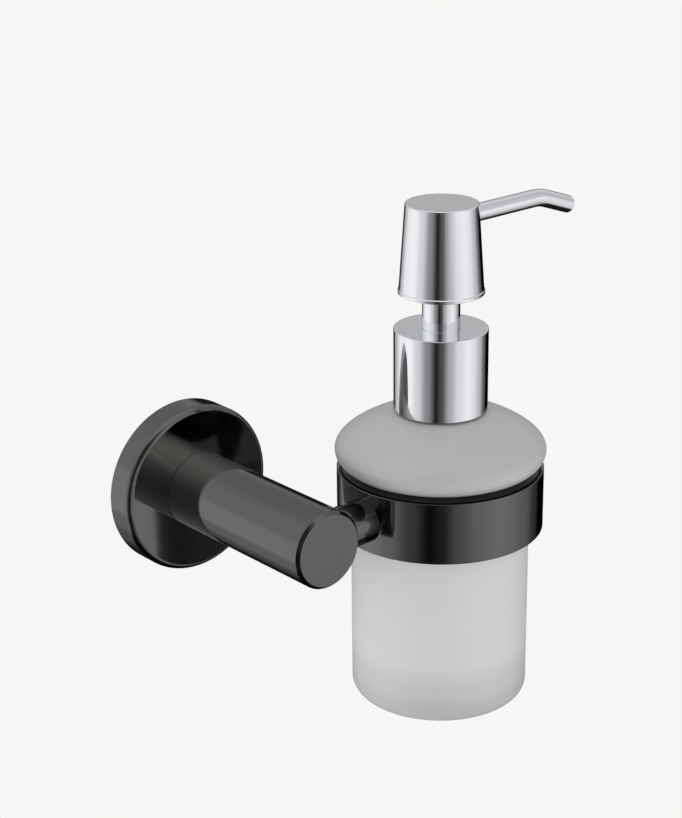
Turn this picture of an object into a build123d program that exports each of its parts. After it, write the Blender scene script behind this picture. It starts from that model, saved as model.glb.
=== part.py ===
"""Wall mounted soap dispenser: a bracket with a ring, a frosted glass bottle and a lotion pump.

The origin is the centre of the bracket's back face, on the wall. +Y points into the wall, +Z is up and
+X runs along the wall from the bracket's post to the ring. Sizes are millimetres.
"""
from build123d import *
import os
from math import cos, radians, sin, sqrt

# ---- Bracket: wall flange, post and arm ----
flange_radius = 30.8
flange_depth = 11.0
flange_front_wall = 3.0
flange_edge_round = 2.2
plate_radius = 22.0
plate_thickness = 7.0
plate_floor = 1.5
plate_pocket_gap = 3.0
plate_clearance = 0.3
plate_groove_depth = 1.0
plate_groove_width = 3.2
plate_groove_offset = 1.0
wall_screw_spacing = 30.0
wall_screw_hole_radius = 2.4
wall_screw_head_radius = 4.4
set_screw_radius = 2.0
set_screw_tip_radius = 1.3
set_screw_key = 2.0
set_screw_inset = 0.6
post_radius = 13.8
post_length = 72.0
post_edge_chamfer = 1.15
post_foot_round = 0.35
bolt_radius = 3.0
bolt_head_radius = 5.0
bolt_head_height = 3.8
bolt_key = 4.0
bolt_grip = 14.0
washer_thickness = 1.2
washer_overhang = 0.3
washer_gap = 0.1
tapped_hole_spare = 2.0
arm_radius = 7.8
arm_length = 10.8
arm_setback = 11.0
stud_radius = 2.5
stud_depth = 8.0
stud_length = 12.0
stud_chamfer = 0.4
cut_spare = 1.0

# ---- Ring that carries the bottle ----
ring_wall = 1.7
ring_height = 22.2
ring_edge_round = 0.3
liner_room = 3.2
liner_wall = 1.3
liner_lip_height = 2.6
liner_inset = 0.35
liner_seat_width = 0.4
seat_gap = 0.3
ring_screw_radius = 1.75
ring_screw_length = 7.0
ring_screw_head_radius = 3.6
ring_screw_head_height = 1.7
ring_screw_key = 2.0
liner_window_gap = 0.7

# ---- Glass bottle ----
body_radius = 31.8
body_drop = 65.0
glass_wall = 3.2
floor_thickness = 5.0
body_corner_round = 4.2
floor_rest_width = 3.6
floor_kick_height = 1.6
bottle_clearance = 0.4
dome_overhang = 5.55
dome_heel_round = 5.5
dome_gap = 1.2
dome_rise = 14.7
dome_pull = 5.6
slope_run = 9.4
slope_fall = 3.9
neck_foot_width = 2.2
neck_foot_rise = 0.4
roof_rise = 0.6
shoulder_step = 1.0
neck_wall = 2.1
thread_height = 0.95
neck_height = 15.6

# ---- Pump closure and housing ----
collar_radius = 16.5
collar_wall = 0.9
collar_height = 29.6
collar_top_wall = 1.2
collar_edge_round = 0.35
collar_gap = 0.05
closure_wall = 1.8
closure_top_wall = 1.8
closure_gap = 0.25
closure_lift = 2.0
gasket_thickness = 1.2
housing_flange_thickness = 1.5
housing_flange_overhang = 0.7
housing_wall = 1.3
housing_neck_gap = 0.6
upper_chamber_length = 14.0
lower_chamber_length = 44.0
piston_bore = 6.4
valve_floor = 2.6
valve_port_radius = 1.5
spigot_length = 9.0
spigot_radius = 2.5
bush_head_height = 3.0
bush_foot_gap = 1.0
sleeve_clearance = 0.05
rim_clearance = 0.3
tube_radius = 3.4
tube_wall = 0.9
tube_floor_gap = 3.0
tube_chamfer = 0.3
ball_radius = 2.2
ball_lift = 1.2
ball_seat_gap = 0.35
valve_seat_rise = 0.8
outlet_spare = 1.2
outlet_seat_rise = 1.0

# ---- Plunger and head ----
stroke = 12.0
sleeve_radius = 6.6
sleeve_wall = 0.9
sleeve_cover = 12.0
sleeve_insert = 4.0
stem_radius = 4.0
stem_bore = 1.6
stem_foot_radius = 5.2
stem_foot_height = 1.5
stem_collar_overhang = 0.8
stem_collar_height = 1.2
stem_collar_slope = 0.8
piston_height = 7.0
piston_clearance = 0.05
piston_land = 1.4
piston_land_slope = 0.8
piston_waist = 0.9
spring_radius = 4.6
spring_wire = 0.5
spring_turns = 9
spring_spare = 2.5
head_gap = 12.75
head_height = 31.45
head_top_radius = 12.65
head_skirt_radius = 14.8
head_lip_radius = 15.0
head_lip_height = 1.4
head_lip_step = 0.3
head_wall = 1.0
head_edge_round = 0.5
core_gap = 0.2
core_depth = 21.0
stem_insert = 12.0
spout_radius = 3.15
spout_wall = 0.8
spout_drop = 6.5
spout_start = 7.5
spout_straight_end = 44.6
spout_bend_radius = 18.0
spout_bend_angle = 19.5
spout_tip_length = 12.6

# ---- Places that follow from the sizes ----
ring_radius = body_radius + liner_room + ring_wall
dome_radius = body_radius + dome_overhang
floor_kick_radius = body_radius - body_corner_round - floor_rest_width
arm_reach = post_radius + arm_length + ring_radius
closure_radius = collar_radius - collar_wall
closure_bore = closure_radius - closure_wall
neck_radius = closure_bore - closure_gap - thread_height
neck_bore = neck_radius - neck_wall
post_end = flange_depth + post_length
standoff = post_end - arm_setback
ring_top = ring_height / 2
ring_bore = ring_radius - ring_wall
liner_top = ring_top - liner_inset
liner_bore = body_radius + bottle_clearance
body_bottom = -ring_top - body_drop
heel_low = ring_top + dome_gap
dome_widest = heel_low + dome_heel_round
dome_top = dome_widest + dome_rise
collar_bottom = dome_top - collar_gap
collar_top = collar_bottom + collar_height
neck_top = dome_top + neck_height
flange_seat = neck_top + gasket_thickness
seat_radius = neck_radius + housing_flange_overhang
housing_top = flange_seat + housing_flange_thickness
housing_radius = neck_bore - housing_neck_gap
upper_bore = housing_radius - housing_wall
chamber_step = housing_top - upper_chamber_length
chamber_floor = chamber_step - lower_chamber_length
valve_bottom = chamber_floor - valve_floor
cylinder_radius = piston_bore + housing_wall
spigot_bottom = valve_bottom - spigot_length
closure_top = housing_top + closure_top_wall
sleeve_bottom = collar_top - sleeve_cover
head_bottom = collar_top + head_gap
head_top = head_bottom + head_height
stem_bottom = chamber_floor + stroke + spring_turns * 2 * spring_wire + spring_spare
piston_bottom = stem_bottom + stem_foot_height + piston_clearance
core_top = head_top - head_wall - core_gap
core_bottom = core_top - core_depth
sleeve_top = core_bottom + sleeve_insert
stem_top = core_bottom + stem_insert
spout_height = head_top - spout_drop

bottle_x = arm_reach
bottle_y = -standoff
bottle_axis = Axis((bottle_x, bottle_y, 0), (0, 0, 1))
bottle_profile = Plane(origin=(bottle_x, bottle_y, 0), x_dir=(1, 0, 0), z_dir=(0, -1, 0))
post_line = Axis((0, 0, 0), (0, 1, 0))
arm_plane = Plane(origin=(0, bottle_y, 0), x_dir=(0, 1, 0), z_dir=(1, 0, 0))


def bottle_level(height):
    """A horizontal plane centred on the bottle's axis."""
    return Plane(origin=(bottle_x, bottle_y, height))


def back_level(depth):
    """A plane parallel to the wall, at this depth in front of it, that faces the room."""
    return Plane(origin=(0, -depth, 0), x_dir=(1, 0, 0), z_dir=(0, -1, 0))


os.makedirs("parts", exist_ok=True)
finished = []


def keep(builder, name):
    """Label a finished piece and write it."""
    builder.part.label = name
    export_step(builder.part, f"parts/{name}.step")
    finished.append(builder.part)


# ---- Wall plate: a grooved disc screwed to the wall, hidden in the flange ----
groove_centre = plate_thickness / 2 + plate_groove_offset
pocket_radius = bolt_head_radius + plate_pocket_gap
with BuildPart() as wall_plate:
    with BuildSketch(Plane.XY):
        with BuildLine():
            Polyline(
                (0, 0), (plate_radius, 0),
                (plate_radius, plate_groove_width / 2 - groove_centre),
                (plate_radius - plate_groove_depth, plate_groove_width / 2 - groove_centre),
                (plate_radius - plate_groove_depth, -plate_groove_width / 2 - groove_centre),
                (plate_radius, -plate_groove_width / 2 - groove_centre),
                (plate_radius, -plate_thickness), (pocket_radius, -plate_thickness),
                (pocket_radius, -plate_floor), (0, -plate_floor), close=True,
            )
        make_face()
    revolve(axis=post_line)
    with Locations(back_level(plate_thickness)):
        with GridLocations(wall_screw_spacing, 0, 2, 1):
            CounterSinkHole(wall_screw_hole_radius, wall_screw_head_radius)
keep(wall_plate, "wall_plate")

# ---- Wall flange: the round cup that hides the plate and carries the post ----
cup_radius = plate_radius + plate_clearance
cup_depth = flange_depth - flange_front_wall
with BuildPart() as wall_flange:
    with BuildSketch(back_level(0)):
        Circle(flange_radius)
    extrude(amount=flange_depth)
    fillet(wall_flange.edges().sort_by(Axis.Y)[0], flange_edge_round)
    with BuildSketch(back_level(0)):
        Circle(cup_radius)
    extrude(amount=cup_depth, mode=Mode.SUBTRACT)
    with Locations(back_level(flange_depth)):
        Hole(bolt_radius)
    with BuildSketch(Plane(origin=(0, -groove_centre, 0), x_dir=(1, 0, 0), z_dir=(0, 0, -1))):
        Circle(set_screw_radius)
    extrude(amount=flange_radius, mode=Mode.SUBTRACT)
keep(wall_flange, "wall_flange")

# ---- Set screw: pulls the flange onto the plate from below ----
set_screw_end = flange_radius - set_screw_inset
set_screw_tip_end = plate_radius - plate_groove_depth
set_screw_plane = Plane(origin=(0, -groove_centre, -set_screw_end), x_dir=(1, 0, 0), z_dir=(0, 0, 1))
with BuildPart() as flange_set_screw:
    with BuildSketch(set_screw_plane):
        Circle(set_screw_radius)
    extrude(amount=set_screw_end - cup_radius)
    with BuildSketch(set_screw_plane):
        Circle(set_screw_tip_radius)
    extrude(amount=set_screw_end - set_screw_tip_end)
    with BuildSketch(set_screw_plane):
        RegularPolygon(set_screw_key / 2, 6, major_radius=False)
    extrude(amount=set_screw_key, mode=Mode.SUBTRACT)
keep(flange_set_screw, "flange_set_screw")

# ---- Post: a turned bar with a tapped back end and a tapped hole for the arm ----
with BuildPart() as post:
    with BuildSketch(back_level(flange_depth)):
        Circle(post_radius)
    extrude(amount=post_length)
    chamfer(post.edges().sort_by(Axis.Y)[0], post_edge_chamfer)
    fillet(post.edges().sort_by(Axis.Y)[-1], post_foot_round)
    with BuildSketch(back_level(flange_depth)):
        Circle(bolt_radius)
    extrude(amount=bolt_grip + tapped_hole_spare, mode=Mode.SUBTRACT)
    with BuildSketch(arm_plane.offset(post_radius - stud_depth)):
        Circle(stud_radius)
    extrude(amount=stud_depth + cut_spare, mode=Mode.SUBTRACT)
keep(post, "post")

# ---- Bolt and lock washer that hold the post on the flange ----
bolt_seat = cup_depth - washer_thickness
with BuildPart() as post_bolt:
    with BuildSketch(back_level(bolt_seat)):
        Circle(bolt_radius)
    extrude(amount=washer_thickness + flange_front_wall + bolt_grip)
    with BuildSketch(back_level(bolt_seat - bolt_head_height)):
        Circle(bolt_head_radius)
    extrude(amount=bolt_head_height)
    with BuildSketch(back_level(bolt_seat - bolt_head_height)):
        RegularPolygon(bolt_key / 2, 6, major_radius=False)
    extrude(amount=bolt_head_height / 2, mode=Mode.SUBTRACT)
keep(post_bolt, "post_bolt")

with BuildPart() as post_washer:
    with BuildSketch(back_level(bolt_seat)):
        Circle(bolt_head_radius + washer_overhang)
        Circle(bolt_radius + washer_gap, mode=Mode.SUBTRACT)
    extrude(amount=washer_thickness)
keep(post_washer, "post_washer")

# ---- Arm: the short round bar between the post and the ring, fitted to both curves ----
with BuildPart() as ring_arm:
    with BuildSketch(arm_plane):
        Circle(arm_radius)
    extrude(amount=arm_reach)
    with BuildSketch(back_level(0)):
        Circle(post_radius)
    extrude(amount=post_end + arm_radius, mode=Mode.SUBTRACT)
    with BuildSketch(bottle_level(-ring_height)):
        Circle(ring_radius)
    extrude(amount=2 * ring_height, mode=Mode.SUBTRACT)
    with BuildSketch(arm_plane.offset(post_radius - cut_spare)):
        Circle(stud_radius)
    extrude(amount=stud_length - stud_depth + cut_spare, mode=Mode.SUBTRACT)
    with BuildSketch(arm_plane.offset(arm_reach - ring_bore - ring_screw_length)):
        Circle(ring_screw_radius)
    extrude(amount=ring_screw_length, mode=Mode.SUBTRACT)
keep(ring_arm, "ring_arm")

with BuildPart() as arm_stud:
    with BuildSketch(arm_plane.offset(post_radius - stud_depth)):
        Circle(stud_radius)
    extrude(amount=stud_length)
    chamfer(arm_stud.edges().filter_by(GeomType.CIRCLE), stud_chamfer)
keep(arm_stud, "arm_stud")

# ---- Ring: the band around the bottle, drilled for the screw into the arm ----
with BuildPart() as holder_ring:
    with BuildSketch(bottle_level(-ring_top)):
        Circle(ring_radius)
        Circle(ring_bore, mode=Mode.SUBTRACT)
    extrude(amount=ring_height)
    fillet(holder_ring.edges().filter_by(GeomType.CIRCLE), ring_edge_round)
    with BuildSketch(arm_plane):
        Circle(ring_screw_radius)
    extrude(amount=arm_reach, mode=Mode.SUBTRACT)
keep(holder_ring, "holder_ring")

# ---- Screw from inside the ring into the arm ----
screw_head_seat = arm_reach - sqrt(ring_bore**2 - ring_screw_head_radius**2)
with BuildPart() as ring_screw:
    with BuildSketch(arm_plane.offset(arm_reach - ring_bore - ring_screw_length)):
        Circle(ring_screw_radius)
    extrude(amount=ring_screw_length + screw_head_seat - arm_reach + ring_bore)
    with BuildSketch(arm_plane.offset(screw_head_seat)):
        Circle(ring_screw_head_radius)
    extrude(amount=ring_screw_head_height)
    with BuildSketch(arm_plane.offset(screw_head_seat + ring_screw_head_height)):
        RegularPolygon(ring_screw_key / 2, 6, major_radius=False)
    extrude(amount=-ring_screw_key, mode=Mode.SUBTRACT)
keep(ring_screw, "ring_screw")

# ---- Liner: the plastic bush that keeps the glass off the metal ----
with BuildPart() as ring_liner:
    with BuildSketch(bottle_profile):
        with BuildLine():
            Polyline(
                (ring_bore, -liner_top), (ring_bore, liner_top),
                (liner_bore + liner_seat_width, heel_low - seat_gap), (liner_bore, heel_low - seat_gap),
                (liner_bore, liner_top - liner_lip_height),
                (ring_bore - liner_wall, liner_top - liner_lip_height),
                (ring_bore - liner_wall, liner_lip_height - liner_top),
                (liner_bore, liner_lip_height - liner_top), (liner_bore, -liner_top), close=True,
            )
        make_face()
    revolve(axis=bottle_axis)
    with BuildSketch(arm_plane.offset(arm_reach - ring_radius)):
        Circle(ring_screw_head_radius + liner_window_gap)
    extrude(amount=ring_radius / 2, mode=Mode.SUBTRACT)
keep(ring_liner, "ring_liner")

# ---- Bottle: one blown shell with a heavy floor, a wide shoulder and a bored neck ----
heel_centre = dome_radius - dome_heel_round
dome_foot = neck_radius + neck_foot_width
inner_radius = body_radius - glass_wall
inner_floor = body_bottom + floor_thickness
inner_shoulder = heel_low + shoulder_step
with BuildPart() as glass_bottle:
    with BuildSketch(bottle_profile):
        with BuildLine():
            foot = Line((0, body_bottom + floor_kick_height), (0, neck_top))
            mouth = Line((0, neck_top), (neck_radius, neck_top))
            neck_side = Line((neck_radius, neck_top), (neck_radius, dome_top + neck_foot_rise))
            neck_foot = Line(neck_side @ 1, (dome_foot, dome_top))
            slope = Bezier(
                (dome_foot, dome_top), (dome_foot + slope_run, dome_top - slope_fall),
                (dome_radius, dome_widest + dome_pull), (dome_radius, dome_widest),
            )
            heel = CenterArc((heel_centre, dome_widest), dome_heel_round, 0, -90)
            waist = Line(heel @ 1, (body_radius, heel_low))
            side = Line(waist @ 1, (body_radius, body_bottom + body_corner_round))
            corner = CenterArc(
                (body_radius - body_corner_round, body_bottom + body_corner_round),
                body_corner_round, 0, -90,
            )
            rest = Line(corner @ 1, (floor_kick_radius, body_bottom))
            kick = Line(rest @ 1, (0, body_bottom + floor_kick_height))
        make_face()
    revolve(axis=bottle_axis)
    with BuildSketch(bottle_profile):
        with BuildLine():
            Line((0, neck_top), (0, inner_floor))
            base = Line((0, inner_floor), (inner_radius - body_corner_round, inner_floor))
            RadiusArc(
                base @ 1, (inner_radius, inner_floor + body_corner_round), -body_corner_round,
            )
            wall = Line((inner_radius, inner_floor + body_corner_round), (inner_radius, inner_shoulder))
            roof = Bezier(
                wall @ 1, (inner_radius, dome_widest + dome_pull),
                (dome_foot + slope_run - glass_wall, dome_top - slope_fall - glass_wall),
                (neck_bore, dome_top - glass_wall + roof_rise),
            )
            Line(roof @ 1, (neck_bore, neck_top))
            Line((neck_bore, neck_top), (0, neck_top))
        make_face()
    revolve(axis=bottle_axis, mode=Mode.SUBTRACT)
keep(glass_bottle, "glass_bottle")

# ---- Gasket between the glass neck and the pump housing ----
with BuildPart() as neck_gasket:
    with BuildSketch(bottle_level(neck_top)):
        Circle(neck_radius)
        Circle(neck_bore, mode=Mode.SUBTRACT)
    extrude(amount=gasket_thickness)
keep(neck_gasket, "neck_gasket")

# ---- Pump housing: flange, upper chamber, cylinder, valve seat and spigot ----
with BuildPart() as pump_housing:
    with BuildSketch(bottle_profile):
        with BuildLine():
            Polyline(
                (upper_bore, housing_top), (seat_radius, housing_top), (seat_radius, flange_seat),
                (housing_radius, flange_seat),
                (housing_radius, chamber_step - housing_wall),
                (cylinder_radius, chamber_step - housing_wall), (cylinder_radius, valve_bottom),
                (spigot_radius, valve_bottom), (spigot_radius, spigot_bottom),
                (valve_port_radius, spigot_bottom),
                (valve_port_radius, valve_bottom + valve_seat_rise),
                (ball_radius + rim_clearance, chamber_floor), (piston_bore, chamber_floor),
                (piston_bore, chamber_step),
                (upper_bore, chamber_step), close=True,
            )
        make_face()
    revolve(axis=bottle_axis)
keep(pump_housing, "pump_housing")

# ---- Guide bush: snaps into the housing and guides the plunger sleeve ----
bush_bore = sleeve_radius + sleeve_clearance
bush_foot = chamber_step + bush_foot_gap
bush_radius = upper_bore + housing_wall
bush_top = closure_top + bush_head_height
with BuildPart() as guide_bush:
    with BuildSketch(bottle_profile):
        with BuildLine():
            Polyline(
                (bush_bore, bush_foot), (upper_bore, bush_foot), (upper_bore, housing_top),
                (bush_radius, housing_top), (bush_radius, bush_top), (bush_bore, bush_top), close=True,
            )
        make_face()
    revolve(axis=bottle_axis)
keep(guide_bush, "guide_bush")

# ---- Closure: the plastic cap inside the collar that screws on the neck ----
closure_bottom = dome_top + closure_lift
closure_roof = housing_top + piston_clearance
closure_hole = bush_radius + rim_clearance
with BuildPart() as closure_insert:
    with BuildSketch(bottle_profile):
        with BuildLine():
            Polyline(
                (closure_bore, closure_bottom), (closure_radius, closure_bottom),
                (closure_radius, closure_top), (closure_hole, closure_top),
                (closure_hole, closure_roof), (closure_bore, closure_roof), close=True,
            )
        make_face()
    revolve(axis=bottle_axis)
keep(closure_insert, "closure_insert")

# ---- Collar: the plated shell over the closure ----
with BuildPart() as collar_shell:
    with BuildSketch(bottle_level(collar_bottom)):
        Circle(collar_radius)
    extrude(amount=collar_height)
    fillet(collar_shell.edges().filter_by(GeomType.CIRCLE), collar_edge_round)
    with BuildSketch(bottle_level(collar_bottom)):
        Circle(closure_radius)
    extrude(amount=collar_height - collar_top_wall, mode=Mode.SUBTRACT)
    with BuildSketch(bottle_level(collar_bottom)):
        Circle(sleeve_radius + rim_clearance)
    extrude(amount=collar_height, mode=Mode.SUBTRACT)
keep(collar_shell, "collar_shell")

# ---- Dip tube ----
tube_bottom = inner_floor + tube_floor_gap
with BuildPart() as dip_tube:
    with BuildSketch(bottle_level(tube_bottom)):
        Circle(tube_radius)
        Circle(tube_radius - tube_wall, mode=Mode.SUBTRACT)
    extrude(amount=valve_bottom - tube_bottom)
    chamfer(dip_tube.edges().group_by(Axis.Z)[0], tube_chamfer)
keep(dip_tube, "dip_tube")

# ---- Check balls: the inlet ball in the housing and the outlet ball in the stem ----
inlet_seat = valve_bottom + valve_seat_rise + ball_radius + ball_seat_gap
with BuildPart() as inlet_ball:
    with Locations((bottle_x, bottle_y, inlet_seat)):
        Sphere(ball_radius)
keep(inlet_ball, "inlet_ball")

outlet_pocket = stem_top - 2 * ball_radius - ball_lift - outlet_spare
outlet_seat = outlet_pocket + ball_radius + ball_seat_gap
with BuildPart() as outlet_ball:
    with Locations((bottle_x, bottle_y, outlet_seat)):
        Sphere(ball_radius)
keep(outlet_ball, "outlet_ball")

# ---- Return spring under the stem ----
spring_bottom = chamber_floor + spring_wire
spring_top = stem_bottom - spring_wire
spring_rise = spring_top - spring_bottom
spring_start = Plane(
    origin=(bottle_x + spring_radius, bottle_y, spring_bottom), x_dir=(1, 0, 0), z_dir=(0, 1, 0),
)
with BuildPart() as return_spring:
    with BuildLine(bottle_level(spring_bottom)) as coil:
        Helix(pitch=spring_rise / spring_turns, height=spring_rise, radius=spring_radius)
    with BuildSketch(spring_start):
        Circle(spring_wire)
    sweep(path=coil.line, is_frenet=True)
keep(return_spring, "return_spring")

# ---- Piston: the plastic seal that slides in the cylinder ----
piston_top = piston_bottom + piston_height
piston_inner = stem_radius + piston_clearance
piston_outer = piston_bore - piston_clearance
waist_radius = piston_bore - piston_waist
land_end = piston_land + piston_land_slope
with BuildPart() as piston:
    with BuildSketch(bottle_profile):
        with BuildLine():
            Polyline(
                (piston_inner, piston_bottom), (piston_outer, piston_bottom),
                (piston_outer, piston_bottom + piston_land), (waist_radius, piston_bottom + land_end),
                (waist_radius, piston_top - land_end), (piston_outer, piston_top - piston_land),
                (piston_outer, piston_top), (piston_inner, piston_top), close=True,
            )
        make_face()
    revolve(axis=bottle_axis)
keep(piston, "piston")

# ---- Stem: the hollow rod from the piston to the head, with the outlet valve at its top ----
stem_collar_low = piston_top + piston_clearance
stem_collar_high = stem_collar_low + stem_collar_height
stem_collar_radius = stem_radius + stem_collar_overhang
with BuildPart() as plunger_stem:
    with BuildSketch(bottle_profile):
        with BuildLine():
            Polyline(
                (stem_bore, stem_bottom), (stem_foot_radius, stem_bottom),
                (stem_foot_radius, stem_bottom + stem_foot_height),
                (stem_radius, stem_bottom + stem_foot_height), (stem_radius, stem_collar_low),
                (stem_collar_radius, stem_collar_low), (stem_collar_radius, stem_collar_high),
                (stem_radius, stem_collar_high + stem_collar_slope), (stem_radius, stem_top),
                (ball_radius + rim_clearance, stem_top),
                (ball_radius + rim_clearance, outlet_pocket + outlet_seat_rise), (stem_bore, outlet_pocket),
                close=True,
            )
        make_face()
    revolve(axis=bottle_axis)
keep(plunger_stem, "plunger_stem")

# ---- Sleeve: the plated tube that shows between collar and head ----
sleeve_bore = sleeve_radius - sleeve_wall
with BuildPart() as stem_sleeve:
    with BuildSketch(bottle_level(sleeve_bottom)):
        Circle(sleeve_radius)
        Circle(sleeve_bore, mode=Mode.SUBTRACT)
    extrude(amount=sleeve_top - sleeve_bottom)
keep(stem_sleeve, "stem_sleeve")


def head_radius(height):
    """Outer radius of the head's cone at a height."""
    share = (height - head_bottom) / head_height
    return head_skirt_radius + (head_top_radius - head_skirt_radius) * share


# ---- Head core: the plastic block inside the head that joins stem, sleeve and spout ----
core_low_radius = head_radius(core_bottom) - head_wall
core_high_radius = head_radius(core_top) - head_wall
spout_bore_radius = spout_radius - spout_wall
spout_line = Plane(origin=(bottle_x, bottle_y, spout_height), x_dir=(0, 1, 0), z_dir=(1, 0, 0))
with BuildPart() as head_core:
    with BuildSketch(bottle_profile):
        with BuildLine():
            Polyline(
                (0, core_top), (core_high_radius, core_top), (core_low_radius, core_bottom),
                (0, core_bottom), close=True,
            )
        make_face()
    revolve(axis=bottle_axis)
    with BuildSketch(bottle_level(core_bottom)):
        Circle(stem_radius)
    extrude(amount=stem_top - core_bottom, mode=Mode.SUBTRACT)
    with BuildSketch(bottle_level(core_bottom)):
        Circle(sleeve_radius)
    extrude(amount=sleeve_top - core_bottom, mode=Mode.SUBTRACT)
    with BuildSketch(bottle_level(stem_top)):
        Circle(valve_port_radius)
    extrude(amount=spout_height - stem_top, mode=Mode.SUBTRACT)
    with BuildSketch(spout_line):
        Circle(spout_bore_radius)
    extrude(amount=spout_start, mode=Mode.SUBTRACT)
    with BuildSketch(spout_line.offset(spout_start)):
        Circle(spout_radius)
    extrude(amount=head_skirt_radius, mode=Mode.SUBTRACT)
keep(head_core, "head_core")

# ---- Head shell: the plated cone that the hand presses ----
head_lip_top = head_bottom + head_lip_height
with BuildPart() as head_shell:
    with BuildSketch(bottle_profile):
        with BuildLine():
            Polyline(
                (0, head_top), (head_top_radius, head_top),
                (head_radius(head_lip_top), head_lip_top),
                (head_lip_radius, head_lip_top - head_lip_step), (head_lip_radius, head_bottom),
                (head_skirt_radius - head_wall, head_bottom),
                (core_high_radius, core_top + core_gap), (0, core_top + core_gap), close=True,
            )
        make_face()
    revolve(axis=bottle_axis)
    fillet(head_shell.edges().group_by(Axis.Z)[-1], head_edge_round)
    with BuildSketch(spout_line):
        Circle(spout_radius)
    extrude(amount=head_skirt_radius, mode=Mode.SUBTRACT)
keep(head_shell, "head_shell")

# ---- Spout: a bent tube with a square-cut tip ----
bend = radians(spout_bend_angle)
bend_end_x = spout_straight_end + spout_bend_radius * sin(bend)
bend_end_z = spout_height - spout_bend_radius * (1 - cos(bend))
with BuildPart() as spout_tube:
    with BuildLine(bottle_profile) as spout_path:
        run = Line((spout_start, spout_height), (spout_straight_end, spout_height))
        turn = CenterArc(
            (spout_straight_end, spout_height - spout_bend_radius), spout_bend_radius,
            90, -spout_bend_angle,
        )
        Line(
            turn @ 1,
            (bend_end_x + spout_tip_length * cos(bend), bend_end_z - spout_tip_length * sin(bend)),
        )
    with BuildSketch(spout_line.offset(spout_start)):
        Circle(spout_radius)
        Circle(spout_bore_radius, mode=Mode.SUBTRACT)
    sweep(path=spout_path.line)
keep(spout_tube, "spout_tube")

print(f"{len(finished)} pieces, wall to ring axis {standoff:.1f}, head top {head_top:.2f}, "
      f"bottle bottom {body_bottom:.2f}, spout tip {bend_end_x + spout_tip_length * cos(bend):.1f}")
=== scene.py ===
"""Looks of a wall mounted soap dispenser: a dark bracket and ring, a frosted bottle and a bright pump.

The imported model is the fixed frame. The pieces that show are made again as fine surfaces around it, and the
pieces inside keep their own shapes and get their own finishes. All lengths are metres.
"""

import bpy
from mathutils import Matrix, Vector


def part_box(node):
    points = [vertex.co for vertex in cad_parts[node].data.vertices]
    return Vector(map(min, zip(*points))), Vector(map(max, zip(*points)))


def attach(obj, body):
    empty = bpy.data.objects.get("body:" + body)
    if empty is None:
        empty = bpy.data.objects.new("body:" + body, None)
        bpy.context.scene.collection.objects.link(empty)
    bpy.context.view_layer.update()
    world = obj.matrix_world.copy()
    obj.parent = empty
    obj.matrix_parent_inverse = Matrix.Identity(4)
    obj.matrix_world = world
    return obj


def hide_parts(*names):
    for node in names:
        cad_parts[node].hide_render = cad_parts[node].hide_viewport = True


bl_info = {
    "name": "Wall soap dispenser",
    "version": (1, 0, 0),
    "blender": (4, 5, 0),
    "location": "View3D > Sidebar > Dispenser",
    "description": "Makes the bracket, the frosted bottle and the pump of a wall mounted soap dispenser",
    "category": "Add Mesh",
}

import math

import bpy
import numpy as np
from mathutils import Matrix

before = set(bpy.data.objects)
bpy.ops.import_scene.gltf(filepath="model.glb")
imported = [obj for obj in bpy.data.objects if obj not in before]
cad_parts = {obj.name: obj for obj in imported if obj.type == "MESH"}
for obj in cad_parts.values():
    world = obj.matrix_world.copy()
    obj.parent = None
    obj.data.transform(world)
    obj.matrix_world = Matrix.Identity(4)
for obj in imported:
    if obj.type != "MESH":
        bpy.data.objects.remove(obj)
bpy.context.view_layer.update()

MM = 0.001
TURN_STEPS = 224        # faces round a large turned piece
SMALL_TURN_STEPS = 128  # faces round a small turned piece
FACE_STEP = 1.5 * MM    # spacing of the rings on a long turned face
ARC_STEP = math.radians(9.0)   # most that an arc turns from one point to the next
SUPPORT = 0.12 * MM     # distance of the support points from a rounded corner
MEET = 1e-8             # points nearer than this are one vertex
SHARP = math.radians(32.0)     # an edge that turns more than this stays sharp
X_AXIS = np.array([1.0, 0.0, 0.0])
Y_AXIS = np.array([0.0, 1.0, 0.0])
Z_AXIS = np.array([0.0, 0.0, 1.0])


# ---- Places taken from the frame ----
def span(node):
    """Lowest corner, highest corner and middle of a node of the frame."""
    low, high = (np.array(corner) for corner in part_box(node))
    return low, high, (low + high) / 2


flange_low, flange_high, _ = span("wall_flange")
_, plate_high, _ = span("wall_plate")
set_screw_low, set_screw_high, set_screw_middle = span("flange_set_screw")
post_low, post_high, _ = span("post")
bolt_low, _, _ = span("post_bolt")
arm_low, arm_high, arm_middle = span("ring_arm")
stud_low, stud_high, _ = span("arm_stud")
ring_low, ring_high, ring_middle = span("holder_ring")
ring_screw_low, _, _ = span("ring_screw")
liner_low, liner_high, _ = span("ring_liner")
bottle_low, bottle_high, bottle_middle = span("glass_bottle")
collar_low, collar_high, _ = span("collar_shell")
sleeve_low, sleeve_high, _ = span("stem_sleeve")
_, core_high, _ = span("head_core")
head_low, head_high, _ = span("head_shell")
_, spout_high, _ = span("spout_tube")

BOTTLE_AXIS = np.array([bottle_middle[0], bottle_middle[1], 0.0])


# ---- Sizes and colours that a user can change ----
def length(name, description, default):
    """A length setting, in metres."""
    return bpy.props.FloatProperty(
        name=name, description=description, default=default, min=0.0, precision=5, unit="LENGTH",
    )


def share(name, description, default):
    """A setting between nothing and one."""
    return bpy.props.FloatProperty(
        name=name, description=description, default=default, min=0.0, max=1.0, precision=3,
    )


def turn(name, description, default):
    """An angle setting, given in degrees."""
    return bpy.props.FloatProperty(
        name=name, description=description, default=math.radians(default), precision=5, unit="ROTATION",
    )


def colour(name, description, default):
    """A colour setting, as linear red, green and blue."""
    return bpy.props.FloatVectorProperty(
        name=name, description=description, default=default, min=0.0, max=1.0, size=3, subtype="COLOR",
    )


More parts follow.
